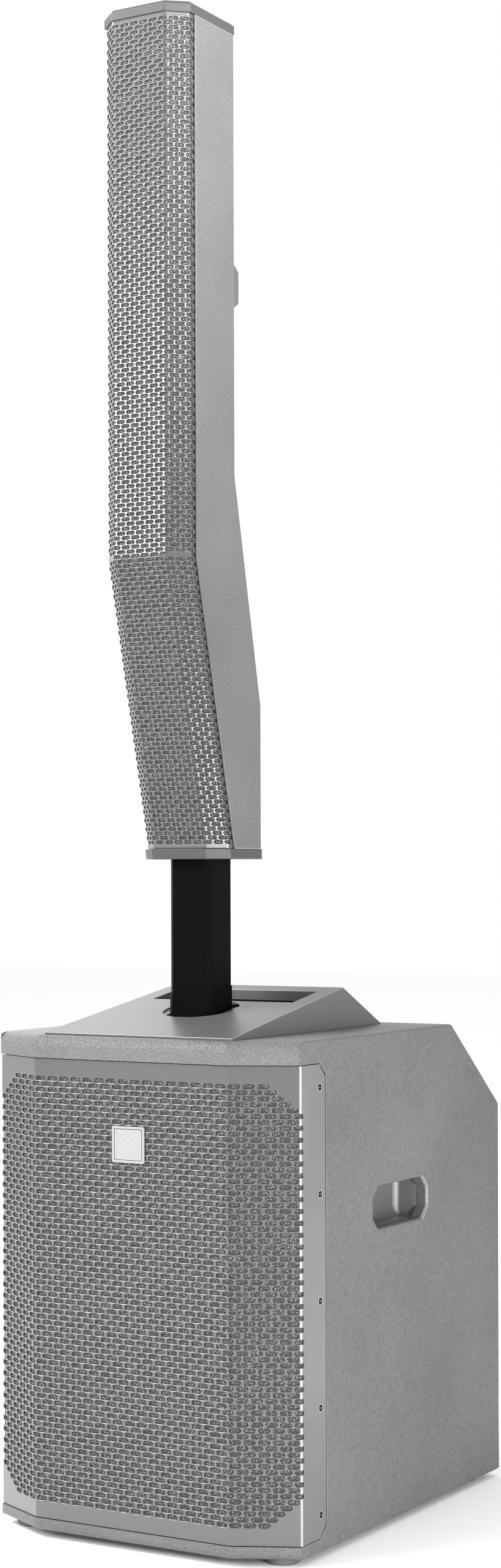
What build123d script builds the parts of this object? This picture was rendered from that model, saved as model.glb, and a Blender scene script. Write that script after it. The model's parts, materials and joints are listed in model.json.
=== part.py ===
from build123d import *
import os
from math import atan, cos, hypot, sin, tan

# A column loudspeaker: a powered 12-inch subwoofer cabinet, a rectangular pole that plugs into its
# top, and a bent column of eight small drivers on the pole. Millimetres. +Z is up, the front faces
# -Y, and the origin is on the floor under the middle of the whole object.
os.makedirs("parts", exist_ok=True)

# ---------------------------------------------------------------- driving dimensions

# Cabinet
CAB_WIDTH = 396.0
CAB_DEPTH = 533.0
CAB_HEIGHT = 557.0
FOOT_HEIGHT = 8.0
PANEL = 15.0
FRONT_FLAT = 252.8  # width of the flat middle of the front
FACET_BACK = 35.2  # how far each slanted facet of the front runs back
LIP_UPPER = 25.3  # height of the lip over the grille
LIP_LOWER = 14.7  # height of the lip under it
SLANT_RUN = 129.9  # the slanted upper rear, measured along Y
SLANT_DROP = 104.0  # and along Z
LIP_ROUND, FOOT_ROUND = 12.0, 9.0  # rounding of the front's top and bottom edges
PLAN_ROUND = 25.0
SLANT_ROUND = 13.0
REAR_OPENING_HALF, REAR_OPENING_LOW, REAR_OPENING_HIGH = 122.0, 183.0, 417.0
FOOT_RADIUS = 19.5
FOOT_PLACES = [(x, y) for x in (-165.0, 165.0) for y in (-213.0, 222.0)]

# Cabinet grille
GRILLE_INSET = 1.7  # how far the sheet lies behind the lips
SHEET = 1.5
FLANGE = 55.0  # the part of the sheet that runs back along each side
FLANGE_CUT = (13.0, 14.0)  # cut off the flange's rear corners, along Y and Z
GROOVE = 1.2  # gap round the flange
FOAM = 4.0
SCREW_PITCH = 116.1
SCREW_Y = -188.0
SCREW_RADIUS, SCREW_HEAD = 1.5, 3.6
BADGE_X, BADGE_Z, BADGE_PLACE_Z = 42.0, 40.0, 448.0
BADGE_BORDER = 2.5
RIDGE = 0.4  # height of the badge's border

# Top moulding
WEDGE_FRONT, WEDGE_PEAK, WEDGE_REAR = -249.0, 18.0, 108.0
WEDGE_LIP = 2.5
WEDGE_HEIGHT = 47.0
WEDGE_HALF_FRONT, WEDGE_HALF_PEAK, WEDGE_HALF_REAR = 123.6, 115.0, 118.0
WEDGE_WALL = 4.0
POCKET_HALF = 95.0
POCKET_FRONT, POCKET_REAR = -67.6, -6.5
POCKET_UNDERCUT = 42.0  # how far the pocket runs back under the bar
COLLAR_RADIUS = 44.5
COLLAR_DEPTH = 2.5

# Pole
POLE_X, POLE_Y = 55.2, 53.6
POLE_CENTRE_Y = -112.4
POLE_CHAMFER = 6.2
POLE_WALL = 3.0
POLE_BOTTOM, POLE_TOP = 500.0, 806.0
PLUG_CAP, PLUG_SPIGOT = 4.0, 20.0
SLIP = 0.3  # clearance of the pole in its sockets
SLEEVE_WALL = 0.9  # thin upper end of the cabinet's socket
SLEEVE_RISE = 22.5  # how far it stands out of the sloping moulding
NOTCH_HEIGHT, NOTCH_DEPTH = 7.5, 1.2  # recess in the pole's front, just under the column

# Column
COL_HALF = 57.5
COL_FLAT_HALF = 34.6
COL_FRONT = -238.3
COL_FACET_BACK = 18.9
COL_FOLD_HALF = 54.8
COL_BODY_FRONT = -210.6
COL_BACK_UPPER, COL_BACK_LOWER = -127.2, -70.8
COL_BOTTOM, COL_BEND, COL_TOP = 762.2, 1096.0, 1709.0
BACK_BEND_LOW, BACK_BEND_HIGH = 938.4, 1196.5
TILT = atan(0.2487)  # the lower front leans back by this much on its way down
CAP_LOWER, CAP_UPPER = 11.7, 12.5
COL_WALL = 2.5
COL_FLANGE = 13.0
COL_FOAM = 3.0

# Drivers
WOOFER_Z = 216.0
WOOFER_RADIUS = 154.0
BAFFLE_FRONT, BAFFLE_BACK = -213.0, -197.0
PORT_RADIUS = 38.0
PORT_PLACES = ((-118.0, 462.0), (118.0, 462.0))
DRIVER_RADIUS = 46.0
UPPER_DRIVERS, LOWER_DRIVERS = 5, 3
UPPER_PITCH, LOWER_PITCH = 112.0, 98.0
UPPER_FIRST, LOWER_FIRST = 60.0, 51.0  # distance of the first driver from the bend
COL_BAFFLE_FRONT = -212.0
COL_BAFFLE = 9.0
CONE_TRAVEL, WOOFER_TRAVEL = 2.0, 8.0

# ---------------------------------------------------------------- derived places

HALF = CAB_WIDTH / 2
FRONT = -CAB_DEPTH / 2
BACK = CAB_DEPTH / 2
FLOOR = FOOT_HEIGHT
TOP = FOOT_HEIGHT + CAB_HEIGHT
SIDE_FRONT = FRONT + FACET_BACK
FLAT = FRONT_FLAT / 2
GRILLE_LOW = FLOOR + LIP_LOWER
GRILLE_HIGH = TOP - LIP_UPPER
PANEL_LOW = GRILLE_LOW
PANEL_HIGH = TOP - PANEL
INNER = HALF - PANEL
SLANT_TOP_Y = BACK - SLANT_RUN
SLANT_LOW_Z = TOP - SLANT_DROP
SLANT_LENGTH = hypot(SLANT_RUN, SLANT_DROP)
SLANT_NORMAL = (0, SLANT_DROP / SLANT_LENGTH, SLANT_RUN / SLANT_LENGTH)
SLANT = Plane(
    origin=(0, BACK - SLANT_RUN / 2, TOP - SLANT_DROP / 2),
    x_dir=(-1, 0, 0),
    z_dir=SLANT_NORMAL,
)
WEDGE_SLOPE = (WEDGE_HEIGHT - WEDGE_LIP) / (WEDGE_PEAK - WEDGE_FRONT)
LEAN = tan(TILT)
DOWN_SLOPE = (0, sin(TILT), -cos(TILT))


def polygon(points):
    """A filled outline through the given points, for use inside a BuildSketch."""
    Polygon(*points, align=None)


def mirrored(points):
    """Points of the right half followed by their mirror images, as one closed loop."""
    return list(points) + [(-x, y) for x, y in reversed(points)]


def meet(p, u, q, v):
    """Where the line through p along u meets the line through q along v."""
    cross = u[0] * v[1] - u[1] * v[0]
    t = ((q[0] - p[0]) * v[1] - (q[1] - p[1]) * v[0]) / cross
    return (p[0] + t * u[0], p[1] + t * u[1])


def faceted_half(flat_half, flat_y, side_half, side_y, rear_y, inset):
    """Right half of a three-sided front, moved inwards by inset: flat, crease, fold, rear end."""
    run = (side_half - flat_half, side_y - flat_y)
    length = hypot(*run)
    shifted = (flat_half - inset * run[1] / length, flat_y + inset * run[0] / length)
    crease = meet((0, flat_y + inset), (1, 0), shifted, run)
    fold = meet((side_half - inset, 0), (0, 1), shifted, run)
    return [(0, flat_y + inset), crease, fold, (side_half - inset, rear_y)]


def sheet_outline(outer, inner):
    """A bent sheet seen from above, between an outer and an inner right-half path."""
    right = outer[1:] + list(reversed(inner))[:-1]
    return mirrored(right)


def box_between(low, high, mode=Mode.ADD):
    """An axis-aligned box from its lowest to its highest corner, inside a BuildPart."""
    size = [b - a for a, b in zip(low, high)]
    centre = tuple((a + b) / 2 for a, b in zip(low, high))
    with Locations(centre):
        Box(*size, mode=mode)


# ================================================================ subwoofer cabinet

# ---------------------------------------------------------------- outer form of the cabinet

FACET = hypot(HALF - FLAT, FACET_BACK)
ALONG = ((HALF - FLAT) / FACET, FACET_BACK / FACET)
FRONT_FACES = (
    ((1, 0, 0), (0, 1, 0), 0, FRONT),
    ((ALONG[0], ALONG[1], 0), (-ALONG[1], ALONG[0], 0), FLAT, FRONT),
    ((ALONG[0], -ALONG[1], 0), (ALONG[1], ALONG[0], 0), -FLAT, FRONT),
)

with BuildPart() as cabinet_form:
    with BuildSketch(Plane.YZ.offset(-HALF)) as side_view:
        polygon(
            [
                (FRONT, FLOOR),
                (BACK, FLOOR),
                (BACK, SLANT_LOW_Z),
                (SLANT_TOP_Y, TOP),
                (FRONT, TOP),
            ]
        )
        fillet(side_view.vertices().sort_by(Axis.Y)[2:3], SLANT_ROUND)
        fillet(side_view.vertices().sort_by(Axis.Y)[-1:], SLANT_ROUND)
    extrude(amount=CAB_WIDTH)
    with BuildSketch(Plane.XY) as plan:
        polygon(mirrored([(FLAT, FRONT), (HALF, SIDE_FRONT), (HALF, BACK)]))
        fillet(plan.vertices().group_by(Axis.Y)[0], PLAN_ROUND)
    extrude(amount=TOP, mode=Mode.INTERSECT)
    for sideways, inwards, origin_x, origin_y in FRONT_FACES:
        face_plane = Plane(origin=(origin_x, origin_y, 0), x_dir=inwards, z_dir=sideways)
        with BuildSketch(face_plane) as profile:
            polygon([(0, FLOOR), (2 * CAB_DEPTH, FLOOR), (2 * CAB_DEPTH, TOP), (0, TOP)])
            near = profile.vertices().filter_by(lambda v: abs(v.X) < 0.1).sort_by(Axis.Y)
            fillet(near[-1:], LIP_ROUND)
            near = profile.vertices().filter_by(lambda v: abs(v.X) < 0.1).sort_by(Axis.Y)
            fillet(near[:1], FOOT_ROUND)
        extrude(profile.sketch, amount=2 * CAB_WIDTH, both=True, mode=Mode.INTERSECT)

# The square hole that lets the pole socket through the top
SOCKET_WALL = 4.0
SOCKET_HOLE_X = POLE_X / 2 + SLIP + SOCKET_WALL + 0.5
SOCKET_HOLE_Y = POLE_Y / 2 + SLIP + SOCKET_WALL + 0.5

with BuildPart() as top_panel:
    add(cabinet_form.part)
    with BuildSketch(Plane.YZ):
        polygon(
            [
                (FRONT - 1, GRILLE_HIGH),
                (SIDE_FRONT + 6, GRILLE_HIGH),
                (SIDE_FRONT + 6, PANEL_HIGH),
                (BACK + 1, PANEL_HIGH),
                (BACK + 1, TOP + 1),
                (FRONT - 1, TOP + 1),
            ]
        )
    extrude(amount=HALF + 1, both=True, mode=Mode.INTERSECT)
    box_between(
        (-SOCKET_HOLE_X, POLE_CENTRE_Y - SOCKET_HOLE_Y, PANEL_HIGH - 1),
        (SOCKET_HOLE_X, POLE_CENTRE_Y + SOCKET_HOLE_Y, TOP + 1),
        Mode.SUBTRACT,
    )

with BuildPart() as bottom_panel:
    add(cabinet_form.part)
    box_between((-HALF - 1, FRONT - 1, FLOOR - 1), (HALF + 1, BACK + 1, GRILLE_LOW), Mode.INTERSECT)

with BuildPart() as rear_panel:
    add(cabinet_form.part)
    box_between((-INNER, BACK - PANEL, PANEL_LOW), (INNER, BACK + 1, PANEL_HIGH), Mode.INTERSECT)
    box_between(
        (-REAR_OPENING_HALF, BACK - PANEL - 1, REAR_OPENING_LOW),
        (REAR_OPENING_HALF, BACK + 1, REAR_OPENING_HIGH),
        Mode.SUBTRACT,
    )

# The slanted panel carries the control plate in a shallow rebate round a through opening.
PLATE_X, PLATE_Y, PLATE = 304.0, 118.0, 2.0
PLATE_REST = 7.0  # width of the ledge under the plate's rim
PLATE_SCREWS = [(x, y) for x in (-146, 0, 146) for y in (-55, 55)]

with BuildPart() as bevel_panel:
    add(cabinet_form.part)
    box_between((-INNER, 0, PANEL_LOW), (INNER, BACK - PANEL, PANEL_HIGH), Mode.INTERSECT)
    with BuildSketch(SLANT.offset(-PANEL)):
        Rectangle(CAB_WIDTH, 2 * SLANT_LENGTH)
    extrude(amount=PANEL + 1, mode=Mode.INTERSECT)
    with BuildSketch(SLANT.offset(-PLATE - 1)):
        Rectangle(PLATE_X, PLATE_Y)
    extrude(amount=PLATE + 2, mode=Mode.SUBTRACT)
    with BuildSketch(SLANT.offset(-PANEL - 1)):
        Rectangle(PLATE_X - 2 * PLATE_REST, PLATE_Y - 2 * PLATE_REST)
    extrude(amount=PANEL + 2, mode=Mode.SUBTRACT)
    with BuildSketch(SLANT.offset(-PANEL + 1)):
        with Locations(*PLATE_SCREWS):
            Circle(SCREW_RADIUS)
    extrude(amount=PANEL, mode=Mode.SUBTRACT)

# ---------------------------------------------------------------- side panels and hand cups


def screw_places(x):
    """Centres of the grille's five side screws at the given x."""
    middle = (GRILLE_LOW + GRILLE_HIGH) / 2
    return [(x, SCREW_Y, middle + i * SCREW_PITCH) for i in range(-2, 3)]


CUP_FRONT, CUP_REAR = -66.0, 72.0
CUP_LOW, CUP_HIGH = 341.6, 392.6
CUP_CUT = 14.0
CUP_WALL = 3.0
CUP_DEPTH = 46.0
INWARDS = (Align.CENTER, Align.CENTER, Align.MAX)
OUTWARDS = (Align.CENTER, Align.CENTER, Align.MIN)


def cup_outline(grow):
    """The hand cup's eight-sided mouth on a YZ plane, grown outwards by grow."""
    low_y, high_y = CUP_FRONT - grow, CUP_REAR + grow
    low_z, high_z = CUP_LOW - grow, CUP_HIGH + grow
    cut = CUP_CUT + grow * 0.4
    polygon(
        [
            (low_y + cut, low_z),
            (high_y - cut, low_z),
            (high_y, low_z + cut),
            (high_y, high_z - cut),
            (high_y - cut, high_z),
            (low_y + cut, high_z),
            (low_y, high_z - cut),
            (low_y, low_z + cut),
        ]
    )


def flange_outline(grow):
    """The grille's side flange on a YZ plane with its two rear corners cut off."""
    rear = SIDE_FRONT + FLANGE + grow
    low, high = GRILLE_LOW, GRILLE_HIGH
    polygon(
        [
            (FRONT, low),
            (rear - FLANGE_CUT[0], low),
            (rear, low + FLANGE_CUT[1]),
            (rear, high - FLANGE_CUT[1]),
            (rear - FLANGE_CUT[0], high),
            (FRONT, high),
        ]
    )


with BuildPart() as side_panel_right:
    add(cabinet_form.part)
    box_between((INNER, SIDE_FRONT + 6, PANEL_LOW), (HALF + 1, BACK + 1, PANEL_HIGH), Mode.INTERSECT)
    with BuildSketch(Plane.YZ.offset(HALF - SHEET - 0.3)):
        flange_outline(GROOVE)
    extrude(amount=SHEET + 1, mode=Mode.SUBTRACT)
    with BuildSketch(Plane.YZ.offset(INNER - 1)):
        cup_outline(0.0)
    extrude(amount=PANEL + 2, mode=Mode.SUBTRACT)
    with Locations(*screw_places(INNER - 1)):
        Cylinder(1.6, PANEL + 2, rotation=(0, 90, 0), align=OUTWARDS, mode=Mode.SUBTRACT)

with BuildPart() as side_cup_right:
    with BuildSketch(Plane.YZ.offset(HALF - CUP_DEPTH)):
        cup_outline(0.0)
    extrude(amount=CUP_DEPTH)
    with BuildSketch(Plane.YZ.offset(HALF - CUP_DEPTH + CUP_WALL)):
        cup_outline(-CUP_WALL)
    hollow = extrude(amount=CUP_DEPTH, mode=Mode.PRIVATE)
    add(hollow, mode=Mode.SUBTRACT)
    mouth = side_cup_right.edges().group_by(Axis.X)[-1]
    chamfer(mouth.sort_by(Axis.Y)[-1], 1.5)

with BuildPart() as side_panel_left:
    mirror(side_panel_right.part, about=Plane.YZ)

with BuildPart() as side_cup_left:
    mirror(side_cup_right.part, about=Plane.YZ)

# ---------------------------------------------------------------- baffle

with BuildPart() as front_baffle:
    box_between((-INNER, BAFFLE_FRONT, PANEL_LOW), (INNER, BAFFLE_BACK, PANEL_HIGH))
    with BuildSketch(Plane.XZ.offset(-BAFFLE_BACK - 1)):
        with Locations((0, WOOFER_Z)):
            Circle(WOOFER_RADIUS - 13)
        with Locations(*PORT_PLACES):
            Circle(PORT_RADIUS)
    extrude(amount=BAFFLE_BACK - BAFFLE_FRONT + 2, mode=Mode.SUBTRACT)

# ---------------------------------------------------------------- cabinet grille, foam and screws


def cabinet_front(inset, rear):
    """Right-half path of the cabinet's faceted front, moved inwards by inset."""
    return faceted_half(FLAT, FRONT, HALF, SIDE_FRONT, rear, inset)


def flush_front(inset, rear):
    """The same path with the side part kept flush with the cabinet's side."""
    path = cabinet_front(GRILLE_INSET + inset, rear)
    side = HALF - inset
    slope = (path[2][1] - path[1][1]) / (path[2][0] - path[1][0])
    fold = (side, path[1][1] + slope * (side - path[1][0]))
    return [path[0], path[1], fold, (side, rear)]


with BuildPart() as sub_grille:
    with BuildSketch(Plane.XY.offset(GRILLE_LOW + 0.3)):
        polygon(sheet_outline(flush_front(0, SIDE_FRONT + FLANGE), flush_front(SHEET, SIDE_FRONT + FLANGE)))
    extrude(amount=GRILLE_HIGH - GRILLE_LOW - 0.6)
    with BuildSketch(Plane.YZ.offset(-HALF - 1)):
        flange_outline(0)
    extrude(amount=CAB_WIDTH + 2, mode=Mode.INTERSECT)
    for side in (-1, 1):
        with Locations(*screw_places(side * HALF)):
            Cone(
                SCREW_HEAD,
                SCREW_HEAD - SHEET,
                SHEET,
                rotation=(0, -90 * side, 0),
                align=OUTWARDS,
                mode=Mode.SUBTRACT,
            )

with BuildPart() as sub_grille_foam:
    with BuildSketch(Plane.XY.offset(GRILLE_LOW + 1)):
        outer_foam = cabinet_front(GRILLE_INSET + SHEET + 0.2, SIDE_FRONT + 4)
        inner_foam = cabinet_front(GRILLE_INSET + SHEET + 0.2 + FOAM, SIDE_FRONT + 4)
        polygon(sheet_outline(outer_foam[:3], inner_foam[:3]))
    extrude(amount=GRILLE_HIGH - GRILLE_LOW - 2)

with BuildPart() as grille_screws:
    with Locations(*screw_places(HALF)):
        Cylinder(SCREW_RADIUS, 14, rotation=(0, 90, 0), align=INWARDS)
        Cone(SCREW_HEAD, SCREW_HEAD - SHEET, SHEET, rotation=(0, -90, 0), align=OUTWARDS)
    heads = grille_screws.faces().filter_by(Axis.X).filter_by(lambda f: f.center().X > HALF - 0.1)
    for head in heads:
        with BuildSketch(Plane(head.center(), x_dir=(0, 1, 0), z_dir=(1, 0, 0))):
            Rectangle(4.0, 0.9)
            Rectangle(0.9, 4.0)
        extrude(amount=-0.9, mode=Mode.SUBTRACT)
    mirror(grille_screws.part, about=Plane.YZ)

with BuildPart() as badge:
    with BuildSketch(Plane.XZ.offset(-FRONT - GRILLE_INSET)):
        with Locations((0, BADGE_PLACE_Z)):
            RectangleRounded(BADGE_X, BADGE_Z, 1.5)
    extrude(amount=GRILLE_INSET - RIDGE)
    with BuildSketch(Plane.XZ.offset(-FRONT - RIDGE)):
        with Locations((0, BADGE_PLACE_Z)):
            RectangleRounded(BADGE_X, BADGE_Z, 1.5)
            RectangleRounded(BADGE_X - 2 * BADGE_BORDER, BADGE_Z - 2 * BADGE_BORDER, 1.0, mode=Mode.SUBTRACT)
    extrude(amount=RIDGE)

# ---------------------------------------------------------------- feet

with BuildPart() as rubber_feet:
    with BuildSketch(Plane.XY):
        with Locations(*FOOT_PLACES):
            Circle(FOOT_RADIUS)
    extrude(amount=FOOT_HEIGHT)
    chamfer(rubber_feet.edges().group_by(Axis.Z)[0], 1.5)
    with Locations(*FOOT_PLACES):
        Cylinder(6, 4, align=OUTWARDS, mode=Mode.SUBTRACT)
        Cylinder(2.2, FOOT_HEIGHT, align=OUTWARDS, mode=Mode.SUBTRACT)

with BuildPart() as foot_screws:
    with Locations(*[(x, y, 1.5) for x, y in FOOT_PLACES]):
        Cylinder(4.5, 2.5, align=OUTWARDS)
        Cylinder(2.0, 16, align=OUTWARDS)

with BuildPart() as drilled_bottom:
    add(bottom_panel.part)
    with Locations(*[(x, y, FLOOR - 1) for x, y in FOOT_PLACES]):
        Cylinder(2.0, 10.5, align=OUTWARDS, mode=Mode.SUBTRACT)

# ---------------------------------------------------------------- top moulding with pole collar


def side_plane(side, wall):
    """The moulding's flank on one side, moved inwards by wall, with its normal outwards."""
    front = Vector(side * (WEDGE_HALF_FRONT - wall), WEDGE_FRONT, TOP)
    peak = Vector(side * (WEDGE_HALF_PEAK - wall), WEDGE_PEAK, TOP + WEDGE_HEIGHT)
    rear = Vector(side * (WEDGE_HALF_REAR - wall), WEDGE_REAR, TOP)
    return Plane(origin=front, z_dir=(rear - front).cross(peak - front) * side)


def wedge(wall):
    """The moulding's solid form with its top lowered and its flanks moved inwards by wall."""
    outline = [(WEDGE_REAR, 0), (WEDGE_PEAK, WEDGE_HEIGHT), (WEDGE_FRONT, WEDGE_LIP)]
    with BuildPart() as form:
        with BuildSketch(Plane.YZ.offset(-WEDGE_HALF_FRONT)):
            polygon([(WEDGE_FRONT, TOP - wall)] + [(y, TOP + z - wall) for y, z in outline])
        extrude(amount=2 * WEDGE_HALF_FRONT)
        box_between(
            (-WEDGE_HALF_FRONT, WEDGE_FRONT, TOP),
            (WEDGE_HALF_FRONT, WEDGE_REAR, TOP + WEDGE_HEIGHT),
            Mode.INTERSECT,
        )
        for side in (-1, 1):
            split(bisect_by=side_plane(side, wall), keep=Keep.BOTTOM)
    return form.part


SLOPE_PLANE = Plane(
    origin=(0, POLE_CENTRE_Y, TOP + WEDGE_LIP + (POLE_CENTRE_Y - WEDGE_FRONT) * WEDGE_SLOPE),
    x_dir=(1, 0, 0),
    z_dir=(0, -WEDGE_SLOPE / hypot(1, WEDGE_SLOPE), 1 / hypot(1, WEDGE_SLOPE)),
)
POCKET_FLOOR = TOP + 5.0
POCKET_ROOF = TOP + 31.0
wedge_solid = wedge(0.0)
wedge_hollow = wedge(WEDGE_WALL)

with BuildPart() as pocket_block:
    box_between(
        (-POCKET_HALF - WEDGE_WALL, POCKET_FRONT - WEDGE_WALL, TOP),
        (POCKET_HALF + WEDGE_WALL, POCKET_REAR + POCKET_UNDERCUT + WEDGE_WALL, TOP + WEDGE_HEIGHT),
    )

with BuildPart() as collar_block:
    with BuildSketch(Plane.XY.offset(TOP)):
        with Locations((0, POLE_CENTRE_Y)):
            Circle(COLLAR_RADIUS + 4)
    extrude(amount=WEDGE_HEIGHT)

with BuildPart() as top_moulding:
    add(wedge_solid)
    add(wedge_hollow - pocket_block.part - collar_block.part, mode=Mode.SUBTRACT)
    box_between(
        (-POCKET_HALF, POCKET_FRONT, POCKET_FLOOR),
        (POCKET_HALF, POCKET_REAR, TOP + WEDGE_HEIGHT + 1),
        Mode.SUBTRACT,
    )
    box_between(
        (-POCKET_HALF, POCKET_FRONT, POCKET_FLOOR),
        (POCKET_HALF, POCKET_REAR + POCKET_UNDERCUT, POCKET_ROOF),
        Mode.SUBTRACT,
    )
    with BuildSketch(SLOPE_PLANE.offset(-COLLAR_DEPTH)):
        Circle(COLLAR_RADIUS)
    extrude(amount=20, mode=Mode.SUBTRACT)
    box_between(
        (-SOCKET_HOLE_X, POLE_CENTRE_Y - SOCKET_HOLE_Y, TOP - 1),
        (SOCKET_HOLE_X, POLE_CENTRE_Y + SOCKET_HOLE_Y, TOP + WEDGE_HEIGHT),
        Mode.SUBTRACT,
    )

# ---------------------------------------------------------------- pole socket in the cabinet

SOCKET_FLOOR = POLE_BOTTOM - 12.0


def pole_outline(grow):
    """The pole's chamfered rectangle in plan, grown outwards by grow."""
    x, y = POLE_X / 2 + grow, POLE_Y / 2 + grow
    cut = POLE_CHAMFER + grow * (2 - hypot(1, 1))
    right = [(x - cut, -y), (x, cut - y), (x, y - cut), (x - cut, y)]
    polygon([(px, POLE_CENTRE_Y + py) for px, py in mirrored(right)])


with BuildPart() as sleeve:
    with BuildSketch(Plane.XY.offset(TOP)):
        pole_outline(SLIP + SLEEVE_WALL)
    extrude(amount=2 * WEDGE_HEIGHT)
    split(bisect_by=SLOPE_PLANE.offset(SLEEVE_RISE), keep=Keep.BOTTOM)


with BuildPart() as pole_socket:
    with BuildSketch(Plane.XY.offset(SOCKET_FLOOR)):
        pole_outline(SLIP + SOCKET_WALL)
    extrude(amount=TOP + 18 - SOCKET_FLOOR)
    with BuildSketch(Plane.XY.offset(PANEL_HIGH - 5)):
        pole_outline(22.0)
    extrude(amount=5)
    add(sleeve.part)
    with BuildSketch(Plane.XY.offset(POLE_BOTTOM - SLIP)):
        pole_outline(SLIP)
    extrude(amount=POLE_TOP - POLE_BOTTOM, mode=Mode.SUBTRACT)
    with BuildSketch(Plane.XY.offset(SOCKET_FLOOR - 1)):
        with Locations((0, POLE_CENTRE_Y)):
            Rectangle(30, 16)
    extrude(amount=16, mode=Mode.SUBTRACT)

with BuildPart() as socket_contacts:
    box_between((-14.8, POLE_CENTRE_Y - 7.8, SOCKET_FLOOR - 6), (14.8, POLE_CENTRE_Y + 7.8, POLE_BOTTOM - 6))
    with Locations(*[(x, POLE_CENTRE_Y, POLE_BOTTOM - 6) for x in (-9, -3, 3, 9)]):
        Box(2.4, 9, 3, align=(Align.CENTER, Align.CENTER, Align.MIN))

# ---------------------------------------------------------------- woofer

WOOFER = Plane(origin=(0, BAFFLE_FRONT, WOOFER_Z), x_dir=(1, 0, 0), z_dir=(0, -1, 0))
MAGNET_RADIUS, MAGNET_FRONT, MAGNET_BACK = 80.0, -98.0, -142.0
COIL_RADIUS = 37.5
BOLT_CIRCLE, BOLT_COUNT, BOLT_START = WOOFER_RADIUS - 8, 8, 22.5
BOLT_RADIUS = 2.4


def turned(points):
    """Revolves a closed outline of (radius, depth) points about the driver's axis."""
    with BuildSketch(Plane.XZ) as outline:
        polygon(points)
    revolve(outline.sketch, axis=Axis.Z)


with BuildPart() as woofer_frame_local:
    turned(
        [
            (WOOFER_RADIUS, 0),
            (WOOFER_RADIUS, 5),
            (WOOFER_RADIUS - 19, 5),
            (WOOFER_RADIUS - 19, -1),
            (WOOFER_RADIUS - 26, -1),
            (WOOFER_RADIUS - 26, -4),
            (WOOFER_RADIUS - 20, -8),
            (86, MAGNET_FRONT + 3),
            (58, MAGNET_FRONT + 3),
            (58, MAGNET_FRONT),
            (90, MAGNET_FRONT),
            (WOOFER_RADIUS - 16, -8),
            (WOOFER_RADIUS - 16, 0),
        ]
    )
    with BuildSketch(Plane.XY.offset(-24)):
        with PolarLocations(111, 6):
            RectangleRounded(58, 44, 8)
    extrude(amount=-60, mode=Mode.SUBTRACT)
    with PolarLocations(BOLT_CIRCLE, BOLT_COUNT, start_angle=BOLT_START):
        Cylinder(2.8, 30, mode=Mode.SUBTRACT)

with BuildPart() as woofer_magnet_local:
    turned(
        [
            (COIL_RADIUS + 2.0, MAGNET_FRONT),
            (MAGNET_RADIUS - 12, MAGNET_FRONT),
            (MAGNET_RADIUS - 12, MAGNET_FRONT - 8),
            (MAGNET_RADIUS, MAGNET_FRONT - 8),
            (MAGNET_RADIUS, MAGNET_BACK + 8),
            (MAGNET_RADIUS - 10, MAGNET_BACK + 8),
            (MAGNET_RADIUS - 12, MAGNET_BACK),
            (14, MAGNET_BACK),
            (14, MAGNET_FRONT),
            (COIL_RADIUS - 2.0, MAGNET_FRONT),
            (COIL_RADIUS - 2.0, MAGNET_BACK + 10),
            (COIL_RADIUS + 2.0, MAGNET_BACK + 10),
        ]
    )

# Cone, dust cap and voice coil former, which move as one
with BuildPart() as woofer_cone_local:
    turned(
        [
            (0, -22),
            (18, -24),
            (36, -29.6),
            (50, -37),
            (62.5, -45.6),
            (118, -4),
            (124, -4),
            (124, -5.2),
            (119, -5.2),
            (COIL_RADIUS + 0.4, -65),
            (COIL_RADIUS + 0.4, -118),
            (COIL_RADIUS - 0.6, -118),
            (COIL_RADIUS - 0.6, -63.6),
            (60, -45.8),
            (49, -38.4),
            (35.6, -31),
            (18, -25.4),
            (0, -23.4),
        ]
    )

with BuildPart() as woofer_surround_local:
    turned(
        [
            (118.5, -3.7),
            (124, -3.7),
            (125, -0.5),
            (126.5, 1.0),
            (128, 0.6),
            (128.8, -0.7),
            (134, -0.7),
            (134, 0.5),
            (129.2, 0.5),
            (128.4, 1.9),
            (126.5, 2.4),
            (124.6, 0.8),
            (123.2, -2.5),
            (118.5, -2.5),
        ]
    )


def seated(local_part, *planes):
    """Moves a part made about its own Z axis to each of the given planes."""
    with BuildPart() as placed:
        with Locations(*planes):
            add(local_part)
    return placed


woofer_frame = seated(woofer_frame_local.part, WOOFER)
woofer_magnet = seated(woofer_magnet_local.part, WOOFER)
woofer_cone = seated(woofer_cone_local.part, WOOFER)
woofer_surround = seated(woofer_surround_local.part, WOOFER)

with BuildPart() as woofer_screws_local:
    with BuildSketch(Plane.XY.offset(5)):
        with PolarLocations(BOLT_CIRCLE, BOLT_COUNT, start_angle=BOLT_START):
            Circle(5)
    extrude(amount=3)
    with PolarLocations(BOLT_CIRCLE, BOLT_COUNT, start_angle=BOLT_START):
        with Locations((0, 0, 5)):
            Cylinder(BOLT_RADIUS, 16, align=INWARDS)
woofer_screws = seated(woofer_screws_local.part, WOOFER)

with BuildPart() as drilled_baffle:
    add(front_baffle.part)
    with Locations(WOOFER):
        with PolarLocations(BOLT_CIRCLE, BOLT_COUNT, start_angle=BOLT_START):
            Cylinder(BOLT_RADIUS, 24, mode=Mode.SUBTRACT)

PORT_WALL, PORT_RIM, PORT_LENGTH = 3.0, 5.0, 140.0

with BuildPart() as port_tubes:
    with BuildSketch(Plane.XZ.offset(-BAFFLE_FRONT)):
        with Locations(*PORT_PLACES):
            Circle(PORT_RADIUS + PORT_RIM)
            Circle(PORT_RADIUS - PORT_WALL, mode=Mode.SUBTRACT)
    extrude(amount=PORT_WALL)
    with BuildSketch(Plane.XZ.offset(-BAFFLE_FRONT - PORT_LENGTH)):
        with Locations(*PORT_PLACES):
            Circle(PORT_RADIUS)
            Circle(PORT_RADIUS - PORT_WALL, mode=Mode.SUBTRACT)
    extrude(amount=PORT_LENGTH)

# ================================================================ rear electronics

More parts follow.
